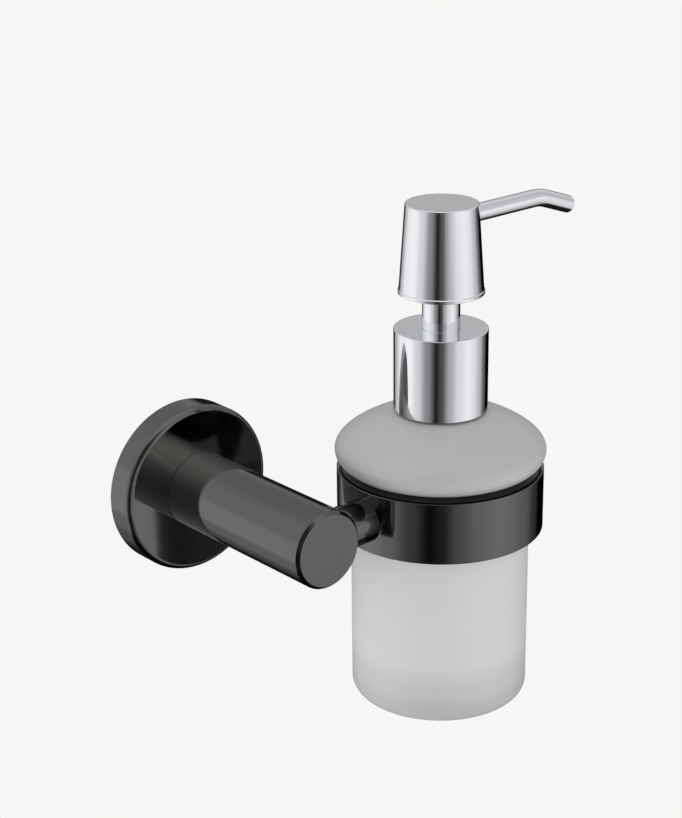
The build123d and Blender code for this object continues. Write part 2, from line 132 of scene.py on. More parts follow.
class BracketSizes(bpy.types.PropertyGroup):
    """Sizes of the wall flange, the post, the arm and the ring."""

    flange_edge: length("Flange edge", "Round of the flange's front edge", 2.2 * MM)
    flange_front: length("Flange front", "Thickness of the flange's front wall", 3.0 * MM)
    cup_gap: length("Cup gap", "Room between the wall plate and the flange", 0.3 * MM)
    back_edge: length("Back edge", "Round of the edge on the wall", 0.25 * MM)
    post_chamfer: length("Post chamfer", "Width of the bevel on the post's free end", 1.15 * MM)
    post_foot: length("Post foot", "Round of the post's edge on the flange", 0.35 * MM)
    crisp_edge: length("Crisp edge", "Round left on a machined edge", 0.1 * MM)
    bolt_radius: length("Bolt radius", "Radius of the bolt in the post", 3.0 * MM)
    bolt_spare: length("Bolt spare", "Depth of the tapped hole past the bolt", 2.0 * MM)
    ring_wall: length("Ring wall", "Thickness of the band round the bottle", 1.7 * MM)
    ring_edge: length("Ring edge", "Round of the band's edges", 0.3 * MM)
    ring_screw: length("Ring screw", "Radius of the screw through the band", 1.75 * MM)
    screw_window: length("Screw window", "Radius of the window in the liner for the screw's head", 4.3 * MM)
    liner_wall: length("Liner wall", "Thickness of the liner behind its lips", 1.3 * MM)
    liner_lip: length("Liner lip", "Height of the liner's lips", 2.6 * MM)
    liner_inset: length("Liner inset", "Depth of the liner below the band's edge", 0.35 * MM)
    liner_gap: length("Liner gap", "Room between the liner's lips and the glass", 0.4 * MM)
    liner_seat: length("Liner seat", "Width of the level part of the liner's seat", 0.4 * MM)


class BottleSizes(bpy.types.PropertyGroup):
    """Sizes of the frosted bottle."""

    body_radius: length("Body radius", "Radius of the straight body", 31.8 * MM)
    wall: length("Wall", "Thickness of the glass", 3.2 * MM)
    floor: length("Floor", "Thickness of the bottom", 5.0 * MM)
    corner: length("Corner", "Round between the body and the bottom", 4.2 * MM)
    kick_radius: length("Kick radius", "Radius of the hollow under the bottom", 24.0 * MM)
    kick_height: length("Kick height", "Height of the hollow under the bottom", 1.6 * MM)
    heel_gap: length("Heel gap", "Height of the shoulder's underside above the ring", 1.2 * MM)
    heel: length("Heel", "Round under the shoulder's widest place", 5.5 * MM)
    shoulder_rise: length("Shoulder rise", "Height from the widest place to the neck's foot", 14.7 * MM)
    shoulder_pull: length("Shoulder pull", "How upright the shoulder starts", 5.6 * MM)
    slope_run: length("Slope run", "How level the shoulder ends, along", 9.4 * MM)
    slope_fall: length("Slope fall", "How level the shoulder ends, down", 3.9 * MM)
    neck_radius: length("Neck radius", "Outer radius of the neck", 12.6 * MM)
    neck_foot: length("Neck foot", "How far the neck's foot spreads", 2.2 * MM)
    neck_bore: length("Neck bore", "Inner radius of the neck", 10.5 * MM)
    lip: length("Lip", "Round of the neck's top edge", 0.5 * MM)
    thread_height: length("Thread height", "How far the thread stands out", 0.95 * MM)
    thread_width: length("Thread width", "Half the width of the thread", 1.15 * MM)
    thread_pitch: length("Thread pitch", "Rise of the thread in one turn", 3.2 * MM)
    thread_start: length("Thread start", "Height of the thread's start above the neck's foot", 4.6 * MM)
    thread_turns: bpy.props.FloatProperty(
        name="Thread turns", description="Turns that the thread makes", default=2.2, min=0.5,
    )


class PumpSizes(bpy.types.PropertyGroup):
    """Sizes of the collar, the sleeve, the head and the spout."""

    plated_wall: length("Plated wall", "Thickness of the collar's wall", 0.9 * MM)
    collar_top: length("Collar top", "Thickness of the collar's top", 1.2 * MM)
    collar_edge: length("Collar edge", "Round of the collar's edges", 0.35 * MM)
    sleeve_gap: length("Sleeve gap", "Room between the collar and the sleeve", 0.06 * MM)
    sleeve_wall: length("Sleeve wall", "Thickness of the sleeve", 0.9 * MM)
    fine_edge: length("Fine edge", "Round of the small edges", 0.12 * MM)
    head_top_radius: length("Head top radius", "Radius of the head's cone at its top", 12.65 * MM)
    head_skirt_radius: length("Head skirt radius", "Radius of the head's cone at its foot", 14.8 * MM)
    head_wall: length("Head wall", "Thickness of the head's shell", 1.0 * MM)
    head_edge: length("Head edge", "Round of the head's top edge", 0.5 * MM)
    lip_height: length("Lip height", "Height of the band at the head's foot", 1.4 * MM)
    lip_step: length("Lip step", "Height of the slope above that band", 0.3 * MM)
    core_gap: length("Core gap", "Room between the head's shell and its core", 0.2 * MM)
    spout_radius: length("Spout radius", "Radius of the spout", 3.15 * MM)
    spout_wall: length("Spout wall", "Thickness of the spout", 0.8 * MM)
    spout_start: length("Spout start", "Where the spout starts, from the bottle's axis", 7.5 * MM)
    spout_bend_start: length("Spout bend start", "Where the bend starts, from the bottle's axis", 44.6 * MM)
    spout_bend_radius: length("Spout bend radius", "Radius of the spout's bend", 18.0 * MM)
    spout_bend_angle: turn("Spout bend angle", "How far the spout turns down", 19.5)
    spout_tip: length("Spout tip", "Length of the straight tip", 12.6 * MM)
    spout_fit: length("Spout fit", "Room round the spout in the head", 0.02 * MM)
    spout_bend_step: length("Spout bend step", "Spacing of the rings along the spout", 0.8 * MM)


class FinishSettings(bpy.types.PropertyGroup):
    """Colours and gloss of the finishes."""

    gunmetal: colour("Gunmetal", "Reflection colour of the dark plating", (0.144, 0.141, 0.136))
    gunmetal_edge: colour("Gunmetal edge", "Colour where the dark plating is thin", (0.20, 0.196, 0.19))
    gunmetal_gloss: share("Gunmetal roughness", "Roughness of the dark plating", 0.07)
    chrome: colour("Chrome", "Reflection colour of the bright plating", (0.865, 0.873, 0.91))
    chrome_edge: colour("Chrome edge", "Colour of the bright plating on its edges", (0.93, 0.93, 0.94))
    chrome_gloss: share("Chrome roughness", "Roughness of the bright plating", 0.045)
    frost: colour("Frost", "Colour of the frosted glass", (0.95, 0.943, 0.925))
    # Painted shade: the colour that the frosted glass is darkened towards where shade falls on it.
    frost_shaded: colour(
        "Frost thick", "Colour of the frosted glass where it is thickest", (0.40, 0.397, 0.39),
    )
    frost_roughness: share("Frost roughness", "Roughness of the etched surface", 0.55)
    frost_clearness: share("Frost clearness", "Share of the light that passes through the glass", 0.12)


class StageSettings(bpy.types.PropertyGroup):
    """The camera, the floor and the studio light."""

    camera_place: bpy.props.FloatVectorProperty(
        name="Camera place", description="Where the camera stands", default=(-0.37933, -0.53066, 0.27244),
        size=3, precision=5, subtype="TRANSLATION", unit="LENGTH",
    )
    camera_turn: turn(
        "Camera turn", "How far the camera looks to the right of straight into the wall", 40.708,
    )
    camera_fall: turn("Camera fall", "How far the camera looks down", 20.714)
    camera_roll: turn("Camera roll", "How far the camera is turned about its own line of sight", 0.691)
    focal_length: bpy.props.FloatProperty(
        name="Focal length", description="Focal length in millimetres", default=85.23, min=10.0,
    )
    floor_drop: length("Floor drop", "Distance from the bottle's bottom to the floor", 0.30)
    floor_radius: length("Floor radius", "Radius of the floor", 6.0)
    backdrop: colour("Backdrop", "Colour of the floor and of the backdrop", (0.930, 0.921, 0.905))


# ---- Shapes worked out on a grid ----
def unit(vector):
    """The vector divided by its length."""
    return vector / np.linalg.norm(vector)


def skin(name, grid):
    """A closed mesh over a grid of points with rows, columns and three coordinates.

    Each cell of the grid is a face. Points that meet at a seam, at a pole or where an outline closes
    become one vertex, and a cell that has lost a side is a triangle. If the enclosed volume, a sixth of
    the sum of a . (b x c) over the triangles, is negative, the faces are turned round.
    """
    rows, columns = grid.shape[:2]
    number = np.arange(rows * columns).reshape(rows, columns)
    cells = np.stack([number[:-1, :-1], number[1:, :-1], number[1:, 1:], number[:-1, 1:]], axis=-1)
    flat = grid.reshape(-1, 3)
    keys = np.round(flat / MEET).astype(np.int64)
    _, first, merged = np.unique(keys, axis=0, return_index=True, return_inverse=True)
    cells = merged.reshape(-1)[cells.reshape(-1, 4)]
    points = flat[first]
    a, b, c, d = (points[cells[:, corner]] for corner in range(4))
    volume = np.einsum("ij,ij->", a, np.cross(b, c)) + np.einsum("ij,ij->", a, np.cross(c, d))
    if volume < 0:
        cells = cells[:, ::-1]
    distinct = cells != np.roll(cells, -1, axis=1)
    sides = distinct.sum(axis=1)
    quads = cells[sides == 4]
    triangles = cells[sides == 3][distinct[sides == 3]].reshape(-1, 3)
    mesh = bpy.data.meshes.new(name)
    mesh.from_pydata(points.tolist(), [], quads.tolist() + triangles.tolist())
    shade(mesh)
    return mesh


def shade(mesh):
    """Smooth shading that stops at the sharp edges."""
    mesh.update()
    mesh.shade_smooth()
    mesh.set_sharp_from_angle(angle=SHARP)


def round_corner(spot, before, after, radius):
    """The arc that rounds a corner. It touches each side at radius / tan h from the corner, where h is
    half the angle between the sides, and its centre is radius / sin h along their bisector. A point of
    the arc at share s is centre + (sin((1 - s) t) u + sin(s t) v) / sin t, with u and v from the centre
    to the ends and t the arc's angle."""
    back, on = unit(before - spot), unit(after - spot)
    half = math.acos(float(np.clip(back @ on, -1.0, 1.0))) / 2
    centre = spot + unit(back + on) * radius / math.sin(half)
    first = spot + back * radius / math.tan(half) - centre
    last = spot + on * radius / math.tan(half) - centre
    angle = math.pi - 2 * half
    part = np.linspace(0.0, 1.0, max(4, math.ceil(angle / ARC_STEP) + 1))[:, None]
    return centre + (np.sin((1 - part) * angle) * first + np.sin(part * angle) * last) / math.sin(angle)


def joined(runs, closed=False, spacing=None):
    """Runs of points joined by straight lines. Each line has a point a little way from either end, so
    that a flat side stays flat in its shading, and points at the spacing between them. A closed outline
    ends where it starts."""
    pieces = []
    following = runs[1:] + [runs[0]] if closed else runs[1:] + [None]
    for run, after in zip(runs, following):
        pieces.append(run)
        if after is None:
            continue
        start, end = run[-1], after[0]
        gap = float(np.linalg.norm(end - start))
        if gap < 3 * SUPPORT:
            continue
        inner = gap - 2 * SUPPORT
        steps = 1 if spacing is None else max(1, round(inner / spacing))
        places = SUPPORT + inner * np.linspace(0.0, 1.0, steps + 1)
        pieces.append(start + places[:, None] * (end - start) / gap)
    if closed:
        pieces.append(runs[0][:1])
    outline = np.concatenate(pieces)
    apart = np.linalg.norm(np.diff(outline, axis=0), axis=1) > MEET
    return outline[np.concatenate([[True], apart])]


def rounded(corners, closed=False, spacing=None):
    """An outline through corners given as across, along and round: straight sides, with an arc at each
    corner."""
    spots = np.array([corner[:2] for corner in corners], dtype=float)
    last = len(spots) - 1
    runs = []
    for i, corner in enumerate(corners):
        free_end = not closed and i in (0, last)
        if corner[2] == 0 or free_end:
            runs.append(spots[i:i + 1])
        else:
            runs.append(round_corner(spots[i], spots[i - 1], spots[(i + 1) % len(spots)], corner[2]))
    return joined(runs, closed, spacing)


def arc_run(centre, radius, start, end):
    """Points at centre + radius (cos a, sin a), with a from start to end in degrees."""
    steps = max(4, math.ceil(abs(math.radians(end - start)) / ARC_STEP) * 2)
    angle = np.radians(np.linspace(start, end, steps + 1))
    return np.asarray(centre) + radius * np.stack([np.cos(angle), np.sin(angle)], axis=-1)


def bezier_run(first, second, third, fourth, steps=36):
    """Points of a cubic Bezier curve: the four points weighted by (1-t)^3, 3t(1-t)^2, 3t^2(1-t) and t^3."""
    t = np.linspace(0.0, 1.0, steps + 1)[:, None]
    weights = (1 - t) ** 3, 3 * t * (1 - t) ** 2, 3 * t**2 * (1 - t), t**3
    return sum(weight * np.asarray(point) for weight, point in zip(weights, (first, second, third, fourth)))


def full_circle(steps):
    """Angles once round a circle, the last one equal to the first."""
    angle = np.linspace(0.0, 2 * math.pi, steps + 1)
    angle[-1] = angle[0]
    return angle


def turned(outline, origin, axis, side, steps=TURN_STEPS):
    """An outline of radius and height turned about an axis: origin + height axis + radius (cos a
    side + sin a other), where other is square to the axis and the side."""
    angle = full_circle(steps)[:, None]
    spokes = np.cos(angle) * side + np.sin(angle) * np.cross(axis, side)
    radius, height = outline[:, 0, None, None], outline[:, 1, None, None]
    return origin + height * axis + radius * spokes


def upright(outline, steps=TURN_STEPS):
    """An outline of radius and height turned about the bottle's axis."""
    return turned(outline, BOTTLE_AXIS, Z_AXIS, X_AXIS, steps)


def level(outline, steps=TURN_STEPS):
    """An outline of radius and distance from the wall turned about the post's axis."""
    return turned(outline, np.zeros(3), -Y_AXIS, X_AXIS, steps)


# ---- Pieces ----
def cut(piece, centre, axis, side, radius, depth, steps=64):
    """Drills a round hole of this radius and depth into the piece, from the centre along the axis."""
    plug = rounded([(0, 0, 0), (radius, 0, 0), (radius, depth, 0), (0, depth, 0)])
    mesh = skin("plug", turned(plug, np.asarray(centre), axis, side, steps))
    drill = bpy.data.objects.new("plug", mesh)
    bpy.context.scene.collection.objects.link(drill)
    modifier = piece.modifiers.new("Hole", "BOOLEAN")
    modifier.operation = "DIFFERENCE"
    modifier.solver = "EXACT"
    modifier.object = drill
    bpy.context.view_layer.update()
    graph = bpy.context.evaluated_depsgraph_get()
    drilled = bpy.data.meshes.new_from_object(piece.evaluated_get(graph))
    piece.modifiers.clear()
    whole = piece.data
    piece.data = drilled
    drilled.name = piece.name
    bpy.data.meshes.remove(whole)
    bpy.data.objects.remove(drill)
    bpy.data.meshes.remove(mesh)
    shade(drilled)


def add_piece(name, grid, body, slot, *nodes):
    """Puts a surface in the scene as a piece on a body. It stands for the nodes, which it hides.
    The slot is not used."""
    mesh = skin(name, grid)
    piece = bpy.data.objects.new(name, mesh)
    bpy.context.scene.collection.objects.link(piece)
    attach(piece, body)
    if nodes:
        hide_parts(*nodes)
    return piece


def dress(piece, material):
    """Gives a piece one finish."""
    piece.data.materials.clear()
    piece.data.materials.append(material)


# ---- Node trees ----
PAINTED_VEIL_GAIN = 2.7         # painted light: how much lighter veiled plating is painted, when seen in polished metal, than plain plating
VEIL_ROUGHNESS = 0.36   # how much rougher it is
PLATING_RELIEF = 0.0008 * MM
PAINTED_REFLECTION_DARKNESS = 0.97       # painted reflection: how dark the frosted glass is painted when it is seen in polished metal
DUST_COLOUR = (0.55, 0.54, 0.52, 1.0)
# The hairlines: how far each set is turned, and its scale along its three axes.
HAIRLINE_SETS = (
    (0.35, (1300.0, 42.0, 60.0)), (1.9, (55.0, 1500.0, 48.0)), (2.7, (60.0, 45.0, 1400.0)),
)
HAIRLINE_SHIFT = (7.3, 3.9, 5.7)


class Wiring:
    """A node tree that is being put together."""

    def __init__(self, tree):
        self.tree = tree

    def add(self, kind, inputs=None, **fields):
        """Adds a node, sets its fields, and feeds each named or numbered input with a socket or a value."""
        node = self.tree.nodes.new(kind)
        for field, value in fields.items():
            setattr(node, field, value)
        for socket, value in (inputs or {}).items():
            if isinstance(value, bpy.types.NodeSocket):
                self.tree.links.new(value, node.inputs[socket])
            else:
                node.inputs[socket].default_value = value
        return node

    def math(self, operation, *values, clamp=False):
        """The result of a Math node."""
        node = self.add("ShaderNodeMath", dict(enumerate(values)), operation=operation, use_clamp=clamp)
        return node.outputs[0]

    def map(self, value, low, high, to_low, to_high, smooth=False):
        """The value carried from one range to another, and held at its ends."""
        kind = "SMOOTHSTEP" if smooth else "LINEAR"
        sockets = {"Value": value, "From Min": low, "From Max": high, "To Min": to_low, "To Max": to_high}
        return self.add("ShaderNodeMapRange", sockets, interpolation_type=kind).outputs["Result"]

    def mix(self, factor, first, second):
        """One colour turning into another."""
        node = self.add("ShaderNodeMix", data_type="RGBA")
        for socket, value in (("Factor_Float", factor), ("A_Color", first), ("B_Color", second)):
            target = next(s for s in node.inputs if s.identifier == socket)
            if isinstance(value, bpy.types.NodeSocket):
                self.tree.links.new(value, target)
            else:
                target.default_value = value
        return next(s for s in node.outputs if s.identifier == "Result_Color")

    def ramp(self, factor, stops, interpolation="LINEAR"):
        """A row of grey levels along the factor, each stop a place and a level."""
        node = self.add("ShaderNodeValToRGB", {"Fac": factor})
        node.color_ramp.interpolation = interpolation
        elements = node.color_ramp.elements
        while len(elements) < len(stops):
            elements.new(0.5)
        for element, (place, brightness) in zip(elements, sorted(stops)):
            element.position = place
            element.color = grey(brightness)
        return node.outputs["Color"]

    def noise(self, vector, scale, detail=2.0, distortion=0.0):
        """A soft noise between nothing and one."""
        sockets = {"Vector": vector, "Scale": scale, "Detail": detail, "Distortion": distortion}
        return self.add("ShaderNodeTexNoise", sockets).outputs["Fac"]


def opaque(colour_value):
    """A colour with full alpha."""
    return (*colour_value, 1.0)


def grey(brightness):
    """A grey with full alpha."""
    return (brightness, brightness, brightness, 1.0)


def new_group(name, inputs, outputs):
    """An empty shader group with named sockets. Returns its wiring and its input and output nodes."""
    tree = bpy.data.node_groups.new(name, "ShaderNodeTree")
    for in_out, sockets in (("INPUT", inputs), ("OUTPUT", outputs)):
        for socket, kind in sockets.items():
            tree.interface.new_socket(name=socket, in_out=in_out, socket_type=f"NodeSocket{kind}")
    wiring = Wiring(tree)
    return wiring, wiring.add("NodeGroupInput").outputs, wiring.add("NodeGroupOutput").inputs


def edge_wear_group():
    """Edge wear: the colour turns into the worn colour on convex edges, broken up by a soft noise."""
    w, given, made = new_group(
        "Edge wear", {"Colour": "Color", "Worn": "Color", "Amount": "Float"},
        {"Colour": "Color", "Mask": "Float"},
    )
    place = w.add("ShaderNodeTexCoord").outputs["Object"]
    point = w.add("ShaderNodeNewGeometry").outputs["Pointiness"]
    edge = w.map(point, 0.55, 0.66, 0.0, 1.0, smooth=True)
    patchy = w.map(w.noise(place, 420.0, 3.0), 0.30, 0.62, 0.35, 1.0)
    mask = w.math("MULTIPLY", w.math("MULTIPLY", edge, patchy), given["Amount"], clamp=True)
    w.tree.links.new(w.mix(mask, given["Colour"], given["Worn"]), made["Colour"])
    w.tree.links.new(mask, made["Mask"])
    return w.tree


def handling_group():
    """Handling: faint hairlines and smudges. Roughness is the base roughness, a little higher where the
    metal has been wiped or touched, and Height is a very shallow relief of hairlines and of the
    plating's own ripple."""
    w, given, made = new_group(
        "Handling", {"Roughness": "Float", "Smudge": "Float", "Hairline": "Float"},
        {"Roughness": "Float", "Height": "Float"},
    )
    place = w.add("ShaderNodeTexCoord").outputs["Object"]
    smear = w.map(w.noise(place, 55.0, 3.0, 0.6), 0.45, 0.75, 0.0, 1.0, smooth=True)
    print_like = w.map(w.noise(place, 230.0, 4.0, 0.3), 0.5, 0.8, 0.0, 1.0)
    smudge = w.math("MULTIPLY", w.math("ADD", w.math("MULTIPLY", smear, 0.7), print_like), given["Smudge"])
    lines = []
    for angle, scale in HAIRLINE_SETS:
        sockets = {
            "Vector": place, "Location": HAIRLINE_SHIFT, "Rotation": (angle, angle / 2, angle),
            "Scale": scale,
        }
        stretched = w.add("ShaderNodeMapping", sockets).outputs["Vector"]
        off_line = w.math("ABSOLUTE", w.math("SUBTRACT", w.noise(stretched, 1.0, 1.0), 0.5))
        lines.append(w.map(off_line, 0.0, 0.02, 1.0, 0.0))
    hairline = w.math("MAXIMUM", w.math("MAXIMUM", lines[0], lines[1]), lines[2])
    sparse = w.map(w.noise(place, 90.0, 2.0), 0.52, 0.66, 0.0, 1.0)
    hairline = w.math("MULTIPLY", w.math("MULTIPLY", hairline, sparse), given["Hairline"])
    roughness = w.math("ADD", w.math("ADD", given["Roughness"], smudge), w.math("MULTIPLY", hairline, 0.12))
    w.tree.links.new(roughness, made["Roughness"])
    ripple = w.math("MULTIPLY", w.noise(place, 140.0, 1.0), 0.35)
    w.tree.links.new(w.math("SUBTRACT", ripple, w.math("MULTIPLY", hairline, 0.5)), made["Height"])
    return w.tree


def etching_group():
    """Etching: the fine grain of frosted glass. Shade is a soft mottling between nothing and one, and
    Height is the grain itself, two sizes of noise added together."""
    w, given, made = new_group("Etching", {"Grain": "Float"}, {"Shade": "Float", "Height": "Float"})
    place = w.add("ShaderNodeTexCoord").outputs["Object"]
    w.tree.links.new(w.noise(place, 38.0, 4.0, 0.4), made["Shade"])
    grain = w.math("ADD", w.noise(place, 1900.0, 2.0), w.math("MULTIPLY", w.noise(place, 5200.0, 1.0), 0.6))
    w.tree.links.new(w.math("MULTIPLY", grain, given["Grain"]), made["Height"])
    return w.tree


def dust_group():
    """Dust: a few pale specks that lie on faces turned up. The mask is a fine noise cut high, times the
    upward part of the face's direction."""
    w, given, made = new_group(
        "Dust", {"Colour": "Color", "Amount": "Float"}, {"Colour": "Color", "Mask": "Float"},
    )
    place = w.add("ShaderNodeTexCoord").outputs["Object"]
    facing = w.add("ShaderNodeSeparateXYZ", {"Vector": w.add("ShaderNodeNewGeometry").outputs["Normal"]})
    up = w.map(facing.outputs["Z"], 0.2, 0.9, 0.0, 1.0)
    specks = w.map(w.noise(place, 1500.0, 1.0), 0.74, 0.80, 0.0, 1.0)
    mask = w.math("MULTIPLY", w.math("MULTIPLY", specks, up), given["Amount"], clamp=True)
    w.tree.links.new(w.mix(mask, given["Colour"], DUST_COLOUR), made["Colour"])
    w.tree.links.new(mask, made["Mask"])
    return w.tree


def shared(name, make):
    """The node group of this name, made the first time that it is asked for."""
    return bpy.data.node_groups.get(name) or make()


def new_material(name):
    """An empty material. Returns it and its wiring."""
    material = bpy.data.materials.new(name)
    material.use_nodes = True
    material.node_tree.nodes.clear()
    return material, Wiring(material.node_tree)


def put_group(w, name, make, **inputs):
    """A shared group placed in a material with its own values."""
    node = w.add("ShaderNodeGroup", node_tree=shared(name, make))
    for socket, value in inputs.items():
        if isinstance(value, bpy.types.NodeSocket):
            w.tree.links.new(value, node.inputs[socket])
        else:
            node.inputs[socket].default_value = value
    return node.outputs


def plated(name, base, edge, roughness, smudge, hairline, wear=0.8, dust=0.25, relief=0.35, painted_veil=0.0):
    """Polished plating: a mirror with thinner plating on its edges, faint hairlines, smudges and specks
    of dust. The painted veil is how much rougher the plating is, and how much lighter it is painted, when it
    is itself seen in polished metal: painted light in its reflections."""
    material, w = new_material(name)
    worn = put_group(w, "Edge wear", edge_wear_group, Colour=opaque(base), Worn=opaque(edge), Amount=wear)
    dusty = put_group(w, "Dust", dust_group, Colour=worn["Colour"], Amount=dust)
    touched = put_group(
        w, "Handling", handling_group, Roughness=roughness, Smudge=smudge, Hairline=hairline,
    )
    bump = w.add("ShaderNodeBump", {
        "Height": touched["Height"], "Strength": relief, "Distance": PLATING_RELIEF,
    })
    # Painted light: the plating is painted lighter, and made rougher, where a glossy ray sees it.
    painted_veil_share = w.math("MULTIPLY", w.add("ShaderNodeLightPath").outputs["Is Glossy Ray"], painted_veil)
    painted_veil_colour = opaque(tuple(PAINTED_VEIL_GAIN * part for part in base))
    surface = w.add("ShaderNodeBsdfPrincipled", {
        "Base Color": w.mix(painted_veil_share, dusty["Colour"], painted_veil_colour),
        "Metallic": w.math("SUBTRACT", 1.0, dusty["Mask"]),
        "Roughness": w.math("ADD", touched["Roughness"], w.math(
            "ADD", w.math("MULTIPLY", dusty["Mask"], 0.4), w.math("MULTIPLY", painted_veil_share, VEIL_ROUGHNESS),
        ), clamp=True),
        "Normal": bump.outputs["Normal"],
    })
    w.add("ShaderNodeOutputMaterial", {"Surface": surface.outputs["BSDF"]})
    return material


def frosted(name, base, shaded, roughness, clearness, shade_stops):
    """Etched glass: a milky surface with a fine grain and a soft mottling. Shade stops are pairs of a height
    and how far painted shade there darkens the colour. Seen in the polished metal the glass is painted dark,
    a painted reflection."""
    material, w = new_material(name)
    etched = put_group(w, "Etching", etching_group, Grain=1.0)
    place = w.add("ShaderNodeSeparateXYZ", {"Vector": w.add("ShaderNodeTexCoord").outputs["Object"]})
    # Painted shade: the colour darkens by height, towards the bottom, over the heel and under the collar.
    low, high = shade_stops[0][0], shade_stops[-1][0]
    up = w.map(place.outputs["Z"], low, high, 0.0, 1.0)
    painted_shade = w.ramp(up, [((height - low) / (high - low), shade_depth) for height, shade_depth in shade_stops], "EASE")
    mottling = w.map(etched["Shade"], 0.3, 0.7, -0.02, 0.03)
    toned = w.mix(w.math("ADD", painted_shade, mottling, clamp=True), opaque(base), opaque(shaded))
    # Painted reflection: rays from polished metal see the glass painted nearly black.
    mirrored = w.add("ShaderNodeLightPath").outputs["Is Glossy Ray"]
    toned = w.mix(w.math("MULTIPLY", mirrored, PAINTED_REFLECTION_DARKNESS), toned, grey(0.0))
    bump = w.add("ShaderNodeBump", {"Height": etched["Height"], "Strength": 0.25, "Distance": 0.01 * MM})
    surface = w.add("ShaderNodeBsdfPrincipled", {
        "Base Color": toned, "Metallic": 0.0, "Transmission Weight": clearness, "IOR": 1.5,
        "Specular IOR Level": 1.0, "Coat Weight": 0.6, "Coat Roughness": 0.4, "Coat IOR": 1.6,
        "Roughness": w.map(etched["Shade"], 0.2, 0.8, roughness - 0.04, roughness + 0.04),
        "Normal": bump.outputs["Normal"],
    })
    w.add("ShaderNodeOutputMaterial", {"Surface": surface.outputs["BSDF"]})
    return material


def moulded(name, base, roughness, clearness=0.0, grain=0.15):
    """Moulded plastic or rubber: a soft gloss with a fine texture and slight changes of shade."""
    material, w = new_material(name)
    etched = put_group(w, "Etching", etching_group, Grain=grain)
    darker = tuple(0.86 * part for part in base)
    toned = w.mix(w.map(etched["Shade"], 0.3, 0.7, 0.0, 1.0), opaque(base), opaque(darker))
    bump = w.add("ShaderNodeBump", {"Height": etched["Height"], "Strength": 0.2, "Distance": 0.02 * MM})
    surface = w.add("ShaderNodeBsdfPrincipled", {
        "Base Color": toned, "Metallic": 0.0, "Transmission Weight": clearness, "IOR": 1.5,
        "Roughness": w.map(etched["Shade"], 0.2, 0.8, roughness - 0.05, roughness + 0.05),
        "Normal": bump.outputs["Normal"],
    })
    w.add("ShaderNodeOutputMaterial", {"Surface": surface.outputs["BSDF"]})
    return material


def machined(name, base, roughness, cast=False):
    """Bare metal: fine turning marks, or the soft pits of a casting, with an uneven tarnish."""
    material, w = new_material(name)
    touched = put_group(w, "Handling", handling_group, Roughness=roughness, Smudge=0.12, Hairline=1.0)
    place = w.add("ShaderNodeTexCoord").outputs["Object"]
    tarnish = w.map(w.noise(place, 130.0, 4.0), 0.35, 0.7, 0.0, 1.0)
    darker = tuple(0.72 * part for part in base)
    pits = w.noise(place, 1400.0 if cast else 2600.0, 2.0)
    height = w.math("ADD", touched["Height"], pits)
    depth = 0.02 * MM if cast else 0.006 * MM
    bump = w.add("ShaderNodeBump", {"Height": height, "Strength": 0.4, "Distance": depth})
    surface = w.add("ShaderNodeBsdfPrincipled", {
        "Base Color": w.mix(tarnish, opaque(base), opaque(darker)), "Metallic": 1.0,
        "Roughness": touched["Roughness"], "Normal": bump.outputs["Normal"],
    })
    w.add("ShaderNodeOutputMaterial", {"Surface": surface.outputs["BSDF"]})
    return material


# Painted shade on the frosted glass: how far the colour is darkened towards the bottom, over the heel just
# above the ring, under the collar and at the mouth. Each pair is a height in millimetres, above the bottle's
# bottom or above the ring's top, and how far.
FOOT_PAINTED_SHADE = ((0.0, 0.60), (2.0, 0.56), (5.0, 0.48), (12.0, 0.28), (24.0, 0.03))
SHOULDER_PAINTED_SHADE = (
    (-4.0, 0.0), (1.0, 0.70), (3.0, 0.70), (6.0, 0.52), (8.5, 0.40), (12.0, 0.36), (17.0, 0.34),
    (19.5, 0.36), (21.5, 0.65),
)
MOUTH_PAINTED_SHADE = 0.6


def finish_named(name):
    """The finish of this name, made the first time that it is asked for."""
    if name in bpy.data.materials:
        return bpy.data.materials[name]
    f = bpy.context.scene.dispenser_finishes
    bottom, rest, top = bottle_low[2], ring_high[2], bottle_high[2]
    # Painted shade stops on the frosted glass, by height.
    shade_stops = (
        *((bottom + rise * MM, shade_depth) for rise, shade_depth in FOOT_PAINTED_SHADE),
        *((rest + rise * MM, shade_depth) for rise, shade_depth in SHOULDER_PAINTED_SHADE), (top, MOUTH_PAINTED_SHADE),
    )
    makers = {
        "Gunmetal": lambda: plated("Gunmetal", f.gunmetal, f.gunmetal_edge, f.gunmetal_gloss, 0.03, 0.6),
        "Gunmetal painted veil": lambda: plated(
            "Gunmetal painted veil", f.gunmetal, f.gunmetal_edge, f.gunmetal_gloss, 0.03, 0.6, painted_veil=1.0,
        ),
        "Chrome": lambda: plated("Chrome", f.chrome, f.chrome_edge, f.chrome_gloss, 0.025, 0.5),
        "Frosted glass": lambda: frosted(
            "Frosted glass", f.frost, f.frost_shaded, f.frost_roughness, f.frost_clearness, shade_stops,
        ),
        "Cast zinc": lambda: machined("Cast zinc", (0.52, 0.53, 0.54), 0.38, cast=True),
        "Steel": lambda: machined("Steel", (0.60, 0.59, 0.58), 0.24),
        "Liner": lambda: moulded("Liner", (0.045, 0.045, 0.044), 0.42),
        "Gasket": lambda: moulded("Gasket", (0.045, 0.045, 0.047), 0.62),
        "Natural plastic": lambda: moulded("Natural plastic", (0.74, 0.75, 0.74), 0.34, clearness=0.45),
        "White plastic": lambda: moulded("White plastic", (0.80, 0.80, 0.79), 0.30),
    }
    return makers[name]()


